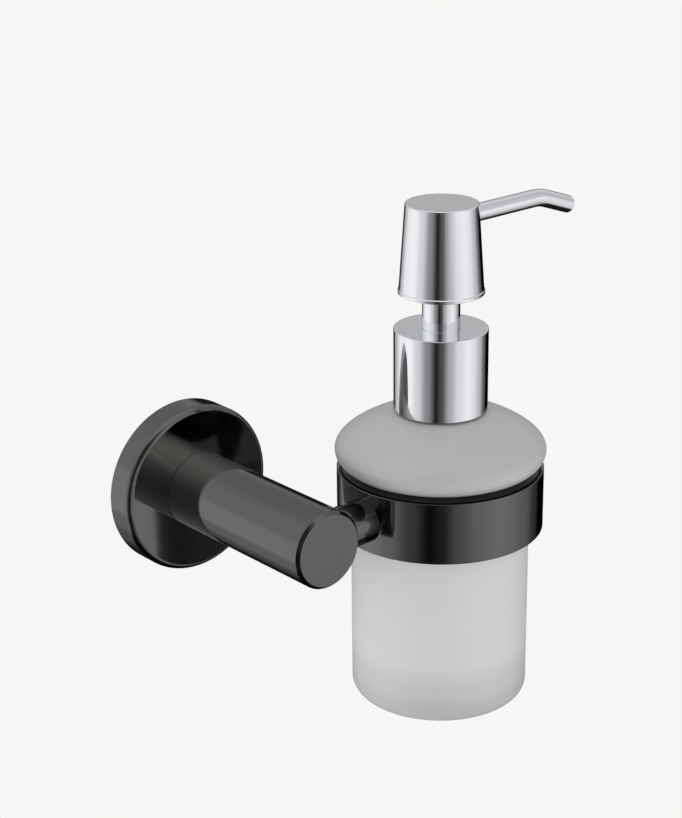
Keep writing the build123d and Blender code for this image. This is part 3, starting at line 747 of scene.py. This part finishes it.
# ---- Operators: the bracket ----
class DISPENSER_OT_flange(bpy.types.Operator):
    """Make the round wall flange, a cup with a rounded front edge and a hole below for its set screw"""

    bl_idname = "dispenser.flange"
    bl_label = "Wall flange"

    def execute(self, context):
        s = context.scene.dispenser_bracket
        radius, depth = flange_high[0], -flange_low[1]
        bore, floor = plate_high[0] + s.cup_gap, depth - s.flange_front
        outline = rounded([
            (s.bolt_radius, depth, 0), (radius, depth, s.flange_edge), (radius, 0, s.back_edge),
            (bore, 0, s.crisp_edge), (bore, floor, s.crisp_edge), (s.bolt_radius, floor, 0),
        ], closed=True)
        piece = add_piece("flange_cup", level(outline), "bracket", "gunmetal", "wall_flange")
        screw_radius = (set_screw_high[0] - set_screw_low[0]) / 2
        start = (0, set_screw_middle[1], -radius - s.flange_edge)
        cut(piece, start, Z_AXIS, X_AXIS, screw_radius, radius - plate_high[0] + s.flange_edge)
        dress(piece, finish_named("Gunmetal painted veil"))
        return {"FINISHED"}


class DISPENSER_OT_post(bpy.types.Operator):
    """Make the post, a turned bar with a bevelled free end and its two threaded holes"""

    bl_idname = "dispenser.post"
    bl_label = "Post"

    def execute(self, context):
        s = context.scene.dispenser_bracket
        radius, back, front = post_high[0], -post_high[1], -post_low[1]
        hole = -bolt_low[1] + s.bolt_spare
        outline = rounded([
            (0, hole, 0), (s.bolt_radius, hole, 0), (s.bolt_radius, back, 0), (radius, back, s.post_foot),
            (radius, front - s.post_chamfer, s.crisp_edge), (radius - s.post_chamfer, front, s.crisp_edge),
            (0, front, 0),
        ], spacing=FACE_STEP)
        piece = add_piece("post_bar", level(outline), "bracket", "gunmetal", "post")
        stud_radius = (stud_high[2] - stud_low[2]) / 2
        start = (stud_low[0], arm_middle[1], 0)
        cut(piece, start, X_AXIS, Z_AXIS, stud_radius, stud_high[0] - stud_low[0])
        dress(piece, finish_named("Gunmetal painted veil"))
        return {"FINISHED"}


class DISPENSER_OT_arm(bpy.types.Operator):
    """Make the short arm, a round bar whose ends fit the post's and the ring's curves"""

    bl_idname = "dispenser.arm"
    bl_label = "Arm"

    def execute(self, context):
        s = context.scene.dispenser_bracket
        radius = (arm_high[2] - arm_low[2]) / 2
        angle = full_circle(SMALL_TURN_STEPS)
        grid = self.bar(radius, angle)
        piece = add_piece("arm_bar", grid, "bracket", "gunmetal", "ring_arm")
        stud_radius = (stud_high[2] - stud_low[2]) / 2
        start = (post_high[0] - 2 * radius, arm_middle[1], 0)
        cut(piece, start, X_AXIS, Z_AXIS, stud_radius, stud_high[0] - start[0])
        screw = (ring_screw_low[0], arm_middle[1], 0)
        cut(piece, screw, X_AXIS, Z_AXIS, s.ring_screw, ring_middle[0] - screw[0])
        dress(piece, finish_named("Gunmetal"))
        return {"FINISHED"}

    def bar(self, radius, angle):
        """A point of the bar at angle a and distance d from its axis has y = d cos a and z = d sin a.
        Its end on the post is at x = sqrt(post^2 - z^2) and its end on the ring is at
        x = reach - sqrt(ring^2 - y^2). The rows go out over one end, along the side and back in over
        the other end."""
        post_radius, ring_radius = post_high[0], (ring_high[0] - ring_low[0]) / 2
        out = np.linspace(0.0, radius, 10)[:, None]
        across, up = np.cos(angle), np.sin(angle)
        post_end = np.sqrt(post_radius**2 - (out * up) ** 2)
        ring_end = ring_middle[0] - np.sqrt(ring_radius**2 - (out * across) ** 2)
        along = np.array([0.0, 0.01, 0.25, 0.5, 0.75, 0.99, 1.0])[:, None]
        side = post_end[-1] + along * (ring_end[-1] - post_end[-1])
        x = np.concatenate([post_end, side[1:-1], ring_end[::-1]])
        reach = np.concatenate([out, np.full((len(along) - 2, 1), radius), out[::-1]])
        return np.stack([x, arm_middle[1] + reach * across, reach * up], axis=-1)


class DISPENSER_OT_ring(bpy.types.Operator):
    """Make the band that holds the bottle, with rounded edges and a hole for its screw"""

    bl_idname = "dispenser.ring"
    bl_label = "Ring"

    def execute(self, context):
        s = context.scene.dispenser_bracket
        radius, top, bottom = (ring_high[0] - ring_low[0]) / 2, ring_high[2], ring_low[2]
        bore = radius - s.ring_wall
        outline = rounded([
            (bore, bottom, s.ring_edge), (radius, bottom, s.ring_edge),
            (radius, top, s.ring_edge), (bore, top, s.ring_edge),
        ], closed=True)
        piece = add_piece("ring_band", upright(outline), "bracket", "gunmetal", "holder_ring")
        start = (ring_screw_low[0], ring_middle[1], 0)
        cut(piece, start, X_AXIS, Z_AXIS, s.ring_screw, ring_middle[0] - start[0])
        dress(piece, finish_named("Gunmetal"))
        return {"FINISHED"}


class DISPENSER_OT_liner(bpy.types.Operator):
    """Make the plastic liner, with its two lips, its sloping seat and the window for the screw's head"""

    bl_idname = "dispenser.liner"
    bl_label = "Liner"

    def execute(self, context):
        s = context.scene.dispenser_bracket
        b = context.scene.dispenser_bottle
        outer = (ring_high[0] - ring_low[0]) / 2 - s.ring_wall
        lip_bore, bore = b.body_radius + s.liner_gap, outer - s.liner_wall
        edge, bottom = ring_high[2] - s.liner_inset, liner_low[2]
        seat = liner_high[2]
        fine = s.crisp_edge
        outline = rounded([
            (outer, bottom, fine), (outer, edge, fine), (lip_bore + s.liner_seat, seat, fine),
            (lip_bore, seat, fine), (lip_bore, edge - s.liner_lip, fine), (bore, edge - s.liner_lip, fine),
            (bore, bottom + s.liner_lip, fine), (lip_bore, bottom + s.liner_lip, fine),
            (lip_bore, bottom, fine),
        ], closed=True)
        piece = add_piece("liner_bush", upright(outline), "bracket", "liner", "ring_liner")
        start = (ring_low[0], ring_middle[1], 0)
        cut(piece, start, X_AXIS, Z_AXIS, s.screw_window, ring_middle[0] - start[0])
        dress(piece, finish_named("Liner"))
        return {"FINISHED"}


# ---- Operators: the bottle ----
class DISPENSER_OT_bottle(bpy.types.Operator):
    """Make the frosted bottle with its rolled shoulder, thick floor and threaded neck"""

    bl_idname = "dispenser.bottle"
    bl_label = "Bottle"

    def execute(self, context):
        b = context.scene.dispenser_bottle
        glass = finish_named("Frosted glass")
        grid = upright(self.outline(b))
        shell = add_piece("frosted_bottle", grid, "bottle", "frosted_glass", "glass_bottle")
        dress(shell, glass)
        thread = add_piece("neck_thread", self.thread(b), "bottle", "frosted_glass")
        dress(thread, glass)
        return {"FINISHED"}

    def outline(self, b):
        """The outside from the middle of the floor up to the mouth, and the inside back down. The
        shoulder is a cubic curve from the neck's foot to the widest place, an arc under it and a level
        step in to the body."""
        bottom, mouth = bottle_low[2], bottle_high[2]
        widest_radius = (bottle_high[0] - bottle_low[0]) / 2
        heel_low = ring_high[2] + b.heel_gap
        widest = heel_low + b.heel
        foot = widest + b.shoulder_rise
        foot_radius = b.neck_radius + b.neck_foot
        inner, floor = b.body_radius - b.wall, bottom + b.floor
        outside = [
            np.array([(0.0, bottom + b.kick_height)]),
            np.array([(b.kick_radius, bottom)]),
            arc_run((b.body_radius - b.corner, bottom + b.corner), b.corner, -90, 0),
            round_corner(
                np.array([b.body_radius, heel_low]), np.array([b.body_radius, bottom + b.corner]),
                np.array([widest_radius - b.heel, heel_low]), b.lip,
            ),
            arc_run((widest_radius - b.heel, widest), b.heel, -90, 0),
            bezier_run(
                (widest_radius, widest), (widest_radius, widest + b.shoulder_pull),
                (foot_radius + b.slope_run, foot - b.slope_fall), (foot_radius, foot),
            ),
            np.array([(b.neck_radius, foot + 0.4 * MM)]),
            arc_run((b.neck_radius - b.lip, mouth - b.lip), b.lip, 0, 90),
        ]
        inside = [
            arc_run((b.neck_bore + b.lip, mouth - b.lip), b.lip, 90, 180),
            bezier_run(
                (b.neck_bore, foot - b.wall + 0.6 * MM),
                (foot_radius + b.slope_run - b.wall, foot - b.slope_fall - b.wall),
                (inner, widest + b.shoulder_pull), (inner, heel_low + 1.0 * MM),
            ),
            arc_run((inner - b.corner, floor + b.corner), b.corner, 0, -90),
            np.array([(0.0, floor)]),
        ]
        return joined(outside + inside, spacing=2.0 * MM)

    def thread(self, b):
        """A rounded ridge along a helix. At share t of its length and angle a round its section, the
        radius is neck + height f cos a and the height is start + pitch turns t + width f sin a, where
        f = min(1, 6 sin(pi t)) to the power of a half fades both ends to a point."""
        t = np.linspace(0.0, 1.0, 320)[:, None]
        fade = np.sqrt(np.minimum(1.0, 6.0 * np.sin(math.pi * t)).clip(0.0))
        fade[[0, -1]] = 0.0
        section = full_circle(20)
        about = 2 * math.pi * b.thread_turns * t
        foot = ring_high[2] + b.heel_gap + b.heel + b.shoulder_rise
        radius = b.neck_radius + b.thread_height * fade * np.cos(section)
        height = foot + b.thread_start + b.thread_pitch * b.thread_turns * t
        height = height + b.thread_width * fade * np.sin(section)
        return BOTTLE_AXIS + np.stack([radius * np.cos(about), radius * np.sin(about), height], axis=-1)


# ---- Operators: the pump ----
class DISPENSER_OT_collar(bpy.types.Operator):
    """Make the plated collar over the closure"""

    bl_idname = "dispenser.collar"
    bl_label = "Collar"

    def execute(self, context):
        p = context.scene.dispenser_pump
        radius, bottom, top = (collar_high[0] - collar_low[0]) / 2, collar_low[2], collar_high[2]
        bore = radius - p.plated_wall
        hole = (sleeve_high[0] - sleeve_low[0]) / 2 + p.sleeve_gap
        under = top - p.collar_top
        outline = rounded([
            (bore, bottom, p.collar_edge), (radius, bottom, p.collar_edge), (radius, top, p.collar_edge),
            (hole, top, p.fine_edge), (hole, under, p.fine_edge), (bore, under, p.fine_edge),
        ], closed=True)
        piece = add_piece("collar_cap", upright(outline), "closure", "chrome", "collar_shell")
        dress(piece, finish_named("Chrome"))
        return {"FINISHED"}


class DISPENSER_OT_sleeve(bpy.types.Operator):
    """Make the plated sleeve that slides in the collar"""

    bl_idname = "dispenser.sleeve"
    bl_label = "Sleeve"

    def execute(self, context):
        p = context.scene.dispenser_pump
        radius = (sleeve_high[0] - sleeve_low[0]) / 2
        bore, bottom, top = radius - p.sleeve_wall, sleeve_low[2], sleeve_high[2]
        outline = rounded([
            (bore, bottom, p.fine_edge), (radius, bottom, p.fine_edge),
            (radius, top, p.fine_edge), (bore, top, p.fine_edge),
        ], closed=True)
        grid = upright(outline, SMALL_TURN_STEPS)
        piece = add_piece("plunger_sleeve", grid, "head", "chrome", "stem_sleeve")
        dress(piece, finish_named("Chrome"))
        return {"FINISHED"}


class DISPENSER_OT_head(bpy.types.Operator):
    """Make the head, a plated cone with a thin band at its foot and a hole for the spout"""

    bl_idname = "dispenser.head"
    bl_label = "Head"

    def execute(self, context):
        p = context.scene.dispenser_pump
        bottom, top = head_low[2], head_high[2]
        lip_radius = (head_high[0] - head_low[0]) / 2
        lip_top = bottom + p.lip_height
        slope = (p.head_top_radius - p.head_skirt_radius) / (top - bottom)
        under = core_high[2] + p.core_gap
        outline = rounded([
            (0, top, 0), (p.head_top_radius, top, p.head_edge),
            (p.head_skirt_radius + slope * p.lip_height, lip_top, p.fine_edge),
            (lip_radius, lip_top - p.lip_step, p.fine_edge), (lip_radius, bottom, p.fine_edge),
            (p.head_skirt_radius - p.head_wall, bottom, p.fine_edge),
            (p.head_skirt_radius - p.head_wall + slope * (under - bottom), under, p.fine_edge),
            (0, under, 0),
        ], spacing=FACE_STEP)
        piece = add_piece("head_cone", upright(outline), "head", "chrome", "head_shell")
        start = (BOTTLE_AXIS[0], BOTTLE_AXIS[1], spout_high[2] - p.spout_radius)
        cut(piece, start, X_AXIS, Y_AXIS, p.spout_radius + p.spout_fit, p.head_skirt_radius)
        dress(piece, finish_named("Chrome"))
        return {"FINISHED"}


class DISPENSER_OT_spout(bpy.types.Operator):
    """Make the bent spout, a tube with a square-cut tip"""

    bl_idname = "dispenser.spout"
    bl_label = "Spout"

    def execute(self, context):
        p = context.scene.dispenser_pump
        run = p.spout_bend_start - p.spout_start
        whole = run + p.spout_bend_radius * p.spout_bend_angle + p.spout_tip
        bore = p.spout_radius - p.spout_wall
        outline = rounded([
            (bore, 0, 0), (p.spout_radius, 0, 0), (p.spout_radius, whole, p.fine_edge),
            (bore, whole, p.fine_edge),
        ], closed=True, spacing=p.spout_bend_step)
        piece = add_piece("spout_pipe", self.pipe(outline, run, p), "head", "chrome", "spout_tube")
        dress(piece, finish_named("Chrome"))
        return {"FINISHED"}

    def pipe(self, outline, run, p):
        """An outline of radius and distance s carried along the spout's line. With the bend's angle
        b = (s - run) / bend radius, held between nothing and the whole bend, and the rest r past the
        bend, the line is at x = start + min(s, run) + R sin b + r cos b and z = height - R (1 - cos
        b) - r sin b. The section is square to it, with one side along Y and the other along (sin b, 0,
        cos b)."""
        distance = outline[:, 1]
        bend = np.clip((distance - run) / p.spout_bend_radius, 0.0, p.spout_bend_angle)
        rest = np.maximum(distance - run - p.spout_bend_radius * p.spout_bend_angle, 0.0)
        x = p.spout_start + np.minimum(distance, run)
        x = x + p.spout_bend_radius * np.sin(bend) + rest * np.cos(bend)
        z = -p.spout_bend_radius * (1 - np.cos(bend)) - rest * np.sin(bend)
        line = np.stack([x, 0 * x, z], axis=-1)
        out = np.stack([np.sin(bend), 0 * bend, np.cos(bend)], axis=-1)
        angle = full_circle(SMALL_TURN_STEPS)[:, None]
        spokes = np.cos(angle) * out[:, None, :] + np.sin(angle) * Y_AXIS
        height = np.array([0.0, 0.0, spout_high[2] - p.spout_radius])
        return BOTTLE_AXIS + height + line[:, None, :] + outline[:, 0, None, None] * spokes


class DISPENSER_OT_inside(bpy.types.Operator):
    """Give the screws, the wall plate and the pump's inner pieces their finishes"""

    bl_idname = "dispenser.inside"
    bl_label = "Inner pieces"

    def execute(self, context):
        finishes = {
            "Cast zinc": ("wall_plate",),
            "Steel": (
                "flange_set_screw", "post_bolt", "post_washer", "arm_stud", "ring_screw", "return_spring",
                "inlet_ball", "outlet_ball",
            ),
            "Gasket": ("neck_gasket",),
            "Natural plastic": ("pump_housing", "guide_bush", "dip_tube"),
            "White plastic": ("closure_insert", "piston", "plunger_stem", "head_core"),
        }
        for name, nodes in finishes.items():
            material = finish_named(name)
            for node in nodes:
                dress(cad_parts[node], material)
        return {"FINISHED"}


# ---- Operator: the stage ----
FLOOR_THICKNESS = 1.0 * MM
# Each level of the studio light is a row of azimuths and brightness. An azimuth of 0 degrees is towards the
# camera, and 90 is to its right. Polished metal shows the floor, panel, level and high rows, from the lowest
# up. Its second reflections show the two inner rows, and the matt row lights matt surfaces.
PANEL_LIGHT = (
    (-180, 0.0), (-158, 0.02), (-138, 0.55), (-118, 0.93), (-84, 1.0), (-62, 0.72), (-36, 0.26),
    (-14, 0.015), (0, 0.08), (20, 0.44), (42, 0.77), (68, 0.93), (84, 0.82), (103, 0.54),
    (125, 0.12), (138, 0.0), (180, 0.0),
)
FLOOR_LIGHT = (
    (-180, 0.0), (-155, 0.02), (-136, 0.22), (-113, 0.56), (-90, 0.85), (-60, 0.6), (-30, 0.08),
    (0, 0.03), (30, 0.3), (60, 0.7), (90, 0.7), (105, 0.45), (128, 0.08), (150, 0.0), (180, 0.0),
)
LEVEL_LIGHT = (
    (-180, 0.02), (-165, 0.03), (-140, 0.5), (-100, 1.0), (-60, 0.72), (-36, 0.28), (-14, 0.02),
    (0, 0.13), (12, 0.42), (28, 0.76), (50, 1.0), (85, 0.92), (104, 0.64), (140, 0.12), (165, 0.03),
    (180, 0.02),
)
HIGH_LIGHT = (
    (-180, 0.48), (-150, 0.6), (-105, 0.8), (-60, 0.65), (-30, 0.12), (12, 0.1), (30, 0.3),
    (50, 0.8), (70, 0.75), (87, 0.62), (115, 0.52), (145, 0.68), (180, 0.48),
)
INNER_LOW_LIGHT = (
    (-180, 0.4), (-121, 0.83), (-90, 1.0), (-60, 0.85), (-36, 0.4), (-14, 0.05), (-2, 0.08),
    (15, 0.35), (43, 0.8), (80, 0.75), (105, 0.6), (127, 0.3), (180, 0.4),
)
MATT_LIGHT = (
    (-180, 1.05), (-135, 1.2), (-90, 1.2), (-45, 1.1), (0, 0.98), (90, 1.05), (180, 1.05),
)
INNER_HIGH_LIGHT = (
    (-180, 0.5), (-60, 0.9), (0, 0.9), (25, 1.4), (60, 1.8), (85, 1.7), (120, 0.9), (180, 0.5),
)


# The elevations, in degrees, between which one level of the light turns into the next.
FLOOR_BLEND = (-24, -31)
LEVEL_BLEND = (-14, -2)
HIGH_BLEND = (5, 16)
CEILING_BLEND = (46, 66)
INNER_BLEND = (21, 38)
UNDER_BLEND = (-42, -56)
CEILING = 0.9           # brightness of the ceiling in a reflection
UNDER = 0.01            # brightness of a reflection from straight below
MATT_FLOOR = 0.92       # brightness from below for a matt surface
MATT_CEILING = 0.52     # and from above
MATT_RISE = (-0.35, 0.55)      # heights of a unit direction between which it turns from one to the other
SECOND_REFLECTION = 2.5        # a first reflection of the studio has ray depth 2 and a second one 3


class DISPENSER_OT_stage(bpy.types.Operator):
    """Set the floor, the camera and the soft light of a small studio"""

    bl_idname = "dispenser.stage"
    bl_label = "Stage"

    def execute(self, context):
        s = context.scene.dispenser_stage
        context.scene.view_settings.view_transform = "Standard"
        self.floor(s)
        self.camera(context, s)
        self.light(context, s)
        return {"FINISHED"}

    def floor(self, s):
        """A pale disc far below the dispenser, which fixes to a wall. Only the camera sees it."""
        outline = np.array([
            (0.0, 0.0), (s.floor_radius, 0.0), (s.floor_radius, -FLOOR_THICKNESS), (0.0, -FLOOR_THICKNESS),
        ])
        centre = BOTTLE_AXIS + (bottle_low[2] - s.floor_drop) * Z_AXIS
        floor = bpy.data.objects.new("floor", skin("floor", turned(outline, centre, Z_AXIS, X_AXIS, 64)))
        bpy.context.scene.collection.objects.link(floor)
        material, w = new_material("Pale floor")
        seen = w.add("ShaderNodeLightPath").outputs["Is Camera Ray"]
        pale = w.add("ShaderNodeEmission", {"Color": opaque(s.backdrop), "Strength": 1.0}).outputs[0]
        unseen = w.add("ShaderNodeBsdfTransparent").outputs[0]
        mixed = w.add("ShaderNodeMixShader", {0: seen, 1: unseen, 2: pale}).outputs[0]
        w.add("ShaderNodeOutputMaterial", {"Surface": mixed})
        dress(floor, material)

    def camera(self, context, s):
        """The camera looks along (sin t cos f, cos t cos f, -sin f) for its turn t and fall f, then
        rolls."""
        t, f, r = s.camera_turn, s.camera_fall, s.camera_roll
        ahead = np.array([math.sin(t) * math.cos(f), math.cos(t) * math.cos(f), -math.sin(f)])
        right = np.array([math.cos(t), -math.sin(t), 0.0])
        up = np.cross(right, ahead)
        across = math.cos(r) * right - math.sin(r) * up
        above = math.sin(r) * right + math.cos(r) * up
        turned_frame = Matrix(np.stack([across, above, -ahead], axis=-1).tolist()).to_4x4()
        data = bpy.data.cameras.new("camera")
        data.lens = s.focal_length
        data.clip_start = 0.01
        data.clip_end = 50.0
        camera = bpy.data.objects.new("camera", data)
        context.scene.collection.objects.link(camera)
        camera.matrix_world = Matrix.Translation(s.camera_place) @ turned_frame
        context.scene.camera = camera

    def light(self, context, s):
        """A studio worked out from direction. The azimuth is the arc tangent of the direction's parts
        along the camera's right and towards the camera. It picks the brightness from a row, and the
        elevation blends one row into the next: the floor, the panels, the level row, the high row and
        then the even ceiling. A second reflection sees two calmer rows instead. Matt surfaces are lit
        by a bright floor and a darker ceiling, times the matt row, and the camera itself sees the plain
        backdrop."""
        world = bpy.data.worlds.new("Studio")
        world.use_nodes = True
        world.node_tree.nodes.clear()
        context.scene.world = world
        w = Wiring(world.node_tree)
        way = w.add("ShaderNodeTexCoord").outputs["Generated"]
        t = s.camera_turn
        parts = []
        for axis in ((math.cos(t), -math.sin(t), 0.0), (-math.sin(t), -math.cos(t), 0.0)):
            part = w.add("ShaderNodeVectorMath", {0: way, 1: axis}, operation="DOT_PRODUCT")
            parts.append(part.outputs["Value"])
        azimuth = w.math("ARCTAN2", parts[0], parts[1])
        around = w.map(azimuth, -math.pi, math.pi, 0.0, 1.0)
        rows = []
        for row in (
            PANEL_LIGHT, FLOOR_LIGHT, LEVEL_LIGHT, HIGH_LIGHT, INNER_LOW_LIGHT, INNER_HIGH_LIGHT,
            MATT_LIGHT,
        ):
            peak = max(brightness for _, brightness in row)
            stops = [((degrees + 180) / 360, brightness / peak) for degrees, brightness in row]
            ramp = w.ramp(around, stops, "EASE")
            scaled = w.add("ShaderNodeVectorMath", {0: ramp, "Scale": peak}, operation="SCALE")
            rows.append(scaled.outputs["Vector"])
        panels, floor, level_row, high, inner_low, inner_high, sides = rows
        rise = w.add("ShaderNodeSeparateXYZ", {"Vector": way}).outputs["Z"]
        path = w.add("ShaderNodeLightPath").outputs
        mirrored = w.mix(self.between(w, rise, *FLOOR_BLEND), panels, floor)
        mirrored = w.mix(self.between(w, rise, *LEVEL_BLEND), mirrored, level_row)
        mirrored = w.mix(self.between(w, rise, *HIGH_BLEND), mirrored, high)
        mirrored = w.mix(self.between(w, rise, *CEILING_BLEND), mirrored, grey(CEILING))
        inner = w.mix(self.between(w, rise, *INNER_BLEND), inner_low, inner_high)
        twice = w.math("GREATER_THAN", path["Ray Depth"], SECOND_REFLECTION)
        mirrored = w.mix(twice, mirrored, inner)
        mirrored = w.mix(self.between(w, rise, *UNDER_BLEND), mirrored, grey(UNDER))
        upward = w.map(rise, *MATT_RISE, 0.0, 1.0, smooth=True)
        matt = w.mix(upward, grey(MATT_FLOOR), grey(MATT_CEILING))
        matt = w.add("ShaderNodeVectorMath", {0: matt, 1: sides}, operation="MULTIPLY").outputs["Vector"]
        seen = w.mix(path["Is Glossy Ray"], matt, mirrored)
        seen = w.mix(path["Is Camera Ray"], seen, opaque(s.backdrop))
        background = w.add("ShaderNodeBackground", {"Color": seen, "Strength": 1.0}).outputs[0]
        w.add("ShaderNodeOutputWorld", {"Surface": background})

    def between(self, w, rise, first, last):
        """Nothing at the first elevation, one at the last, both in degrees, and smooth in between."""
        first_rise, last_rise = math.sin(math.radians(first)), math.sin(math.radians(last))
        return w.map(rise, first_rise, last_rise, 0.0, 1.0, smooth=True)


OPERATORS = (
    DISPENSER_OT_flange, DISPENSER_OT_post, DISPENSER_OT_arm, DISPENSER_OT_ring, DISPENSER_OT_liner,
    DISPENSER_OT_bottle, DISPENSER_OT_collar, DISPENSER_OT_sleeve, DISPENSER_OT_head, DISPENSER_OT_spout,
    DISPENSER_OT_inside, DISPENSER_OT_stage,
)
SETTINGS = {
    "dispenser_bracket": BracketSizes, "dispenser_bottle": BottleSizes, "dispenser_pump": PumpSizes,
    "dispenser_finishes": FinishSettings, "dispenser_stage": StageSettings,
}


class DISPENSER_PT_panel(bpy.types.Panel):
    """The dispenser's settings and the pieces it is made of"""

    bl_idname = "DISPENSER_PT_panel"
    bl_label = "Wall soap dispenser"
    bl_space_type = "VIEW_3D"
    bl_region_type = "UI"
    bl_category = "Dispenser"

    def draw(self, context):
        pieces = self.layout.column(align=True)
        for operator in OPERATORS:
            pieces.operator(operator.bl_idname)
        for name, group in SETTINGS.items():
            box = self.layout.box()
            box.label(text=group.__name__)
            for setting in group.__annotations__:
                box.prop(getattr(context.scene, name), setting)


def register():
    for group in SETTINGS.values():
        bpy.utils.register_class(group)
    for name, group in SETTINGS.items():
        setattr(bpy.types.Scene, name, bpy.props.PointerProperty(type=group))
    for operator in OPERATORS:
        bpy.utils.register_class(operator)
    bpy.utils.register_class(DISPENSER_PT_panel)


def unregister():
    bpy.utils.unregister_class(DISPENSER_PT_panel)
    for operator in reversed(OPERATORS):
        bpy.utils.unregister_class(operator)
    for name in SETTINGS:
        delattr(bpy.types.Scene, name)
    for group in reversed(SETTINGS.values()):
        bpy.utils.unregister_class(group)


def main():
    """Makes every piece and the stage."""
    register()
    for operator in OPERATORS:
        getattr(bpy.ops.dispenser, operator.bl_idname.partition(".")[2])()


if __name__ == "__main__":
    main()
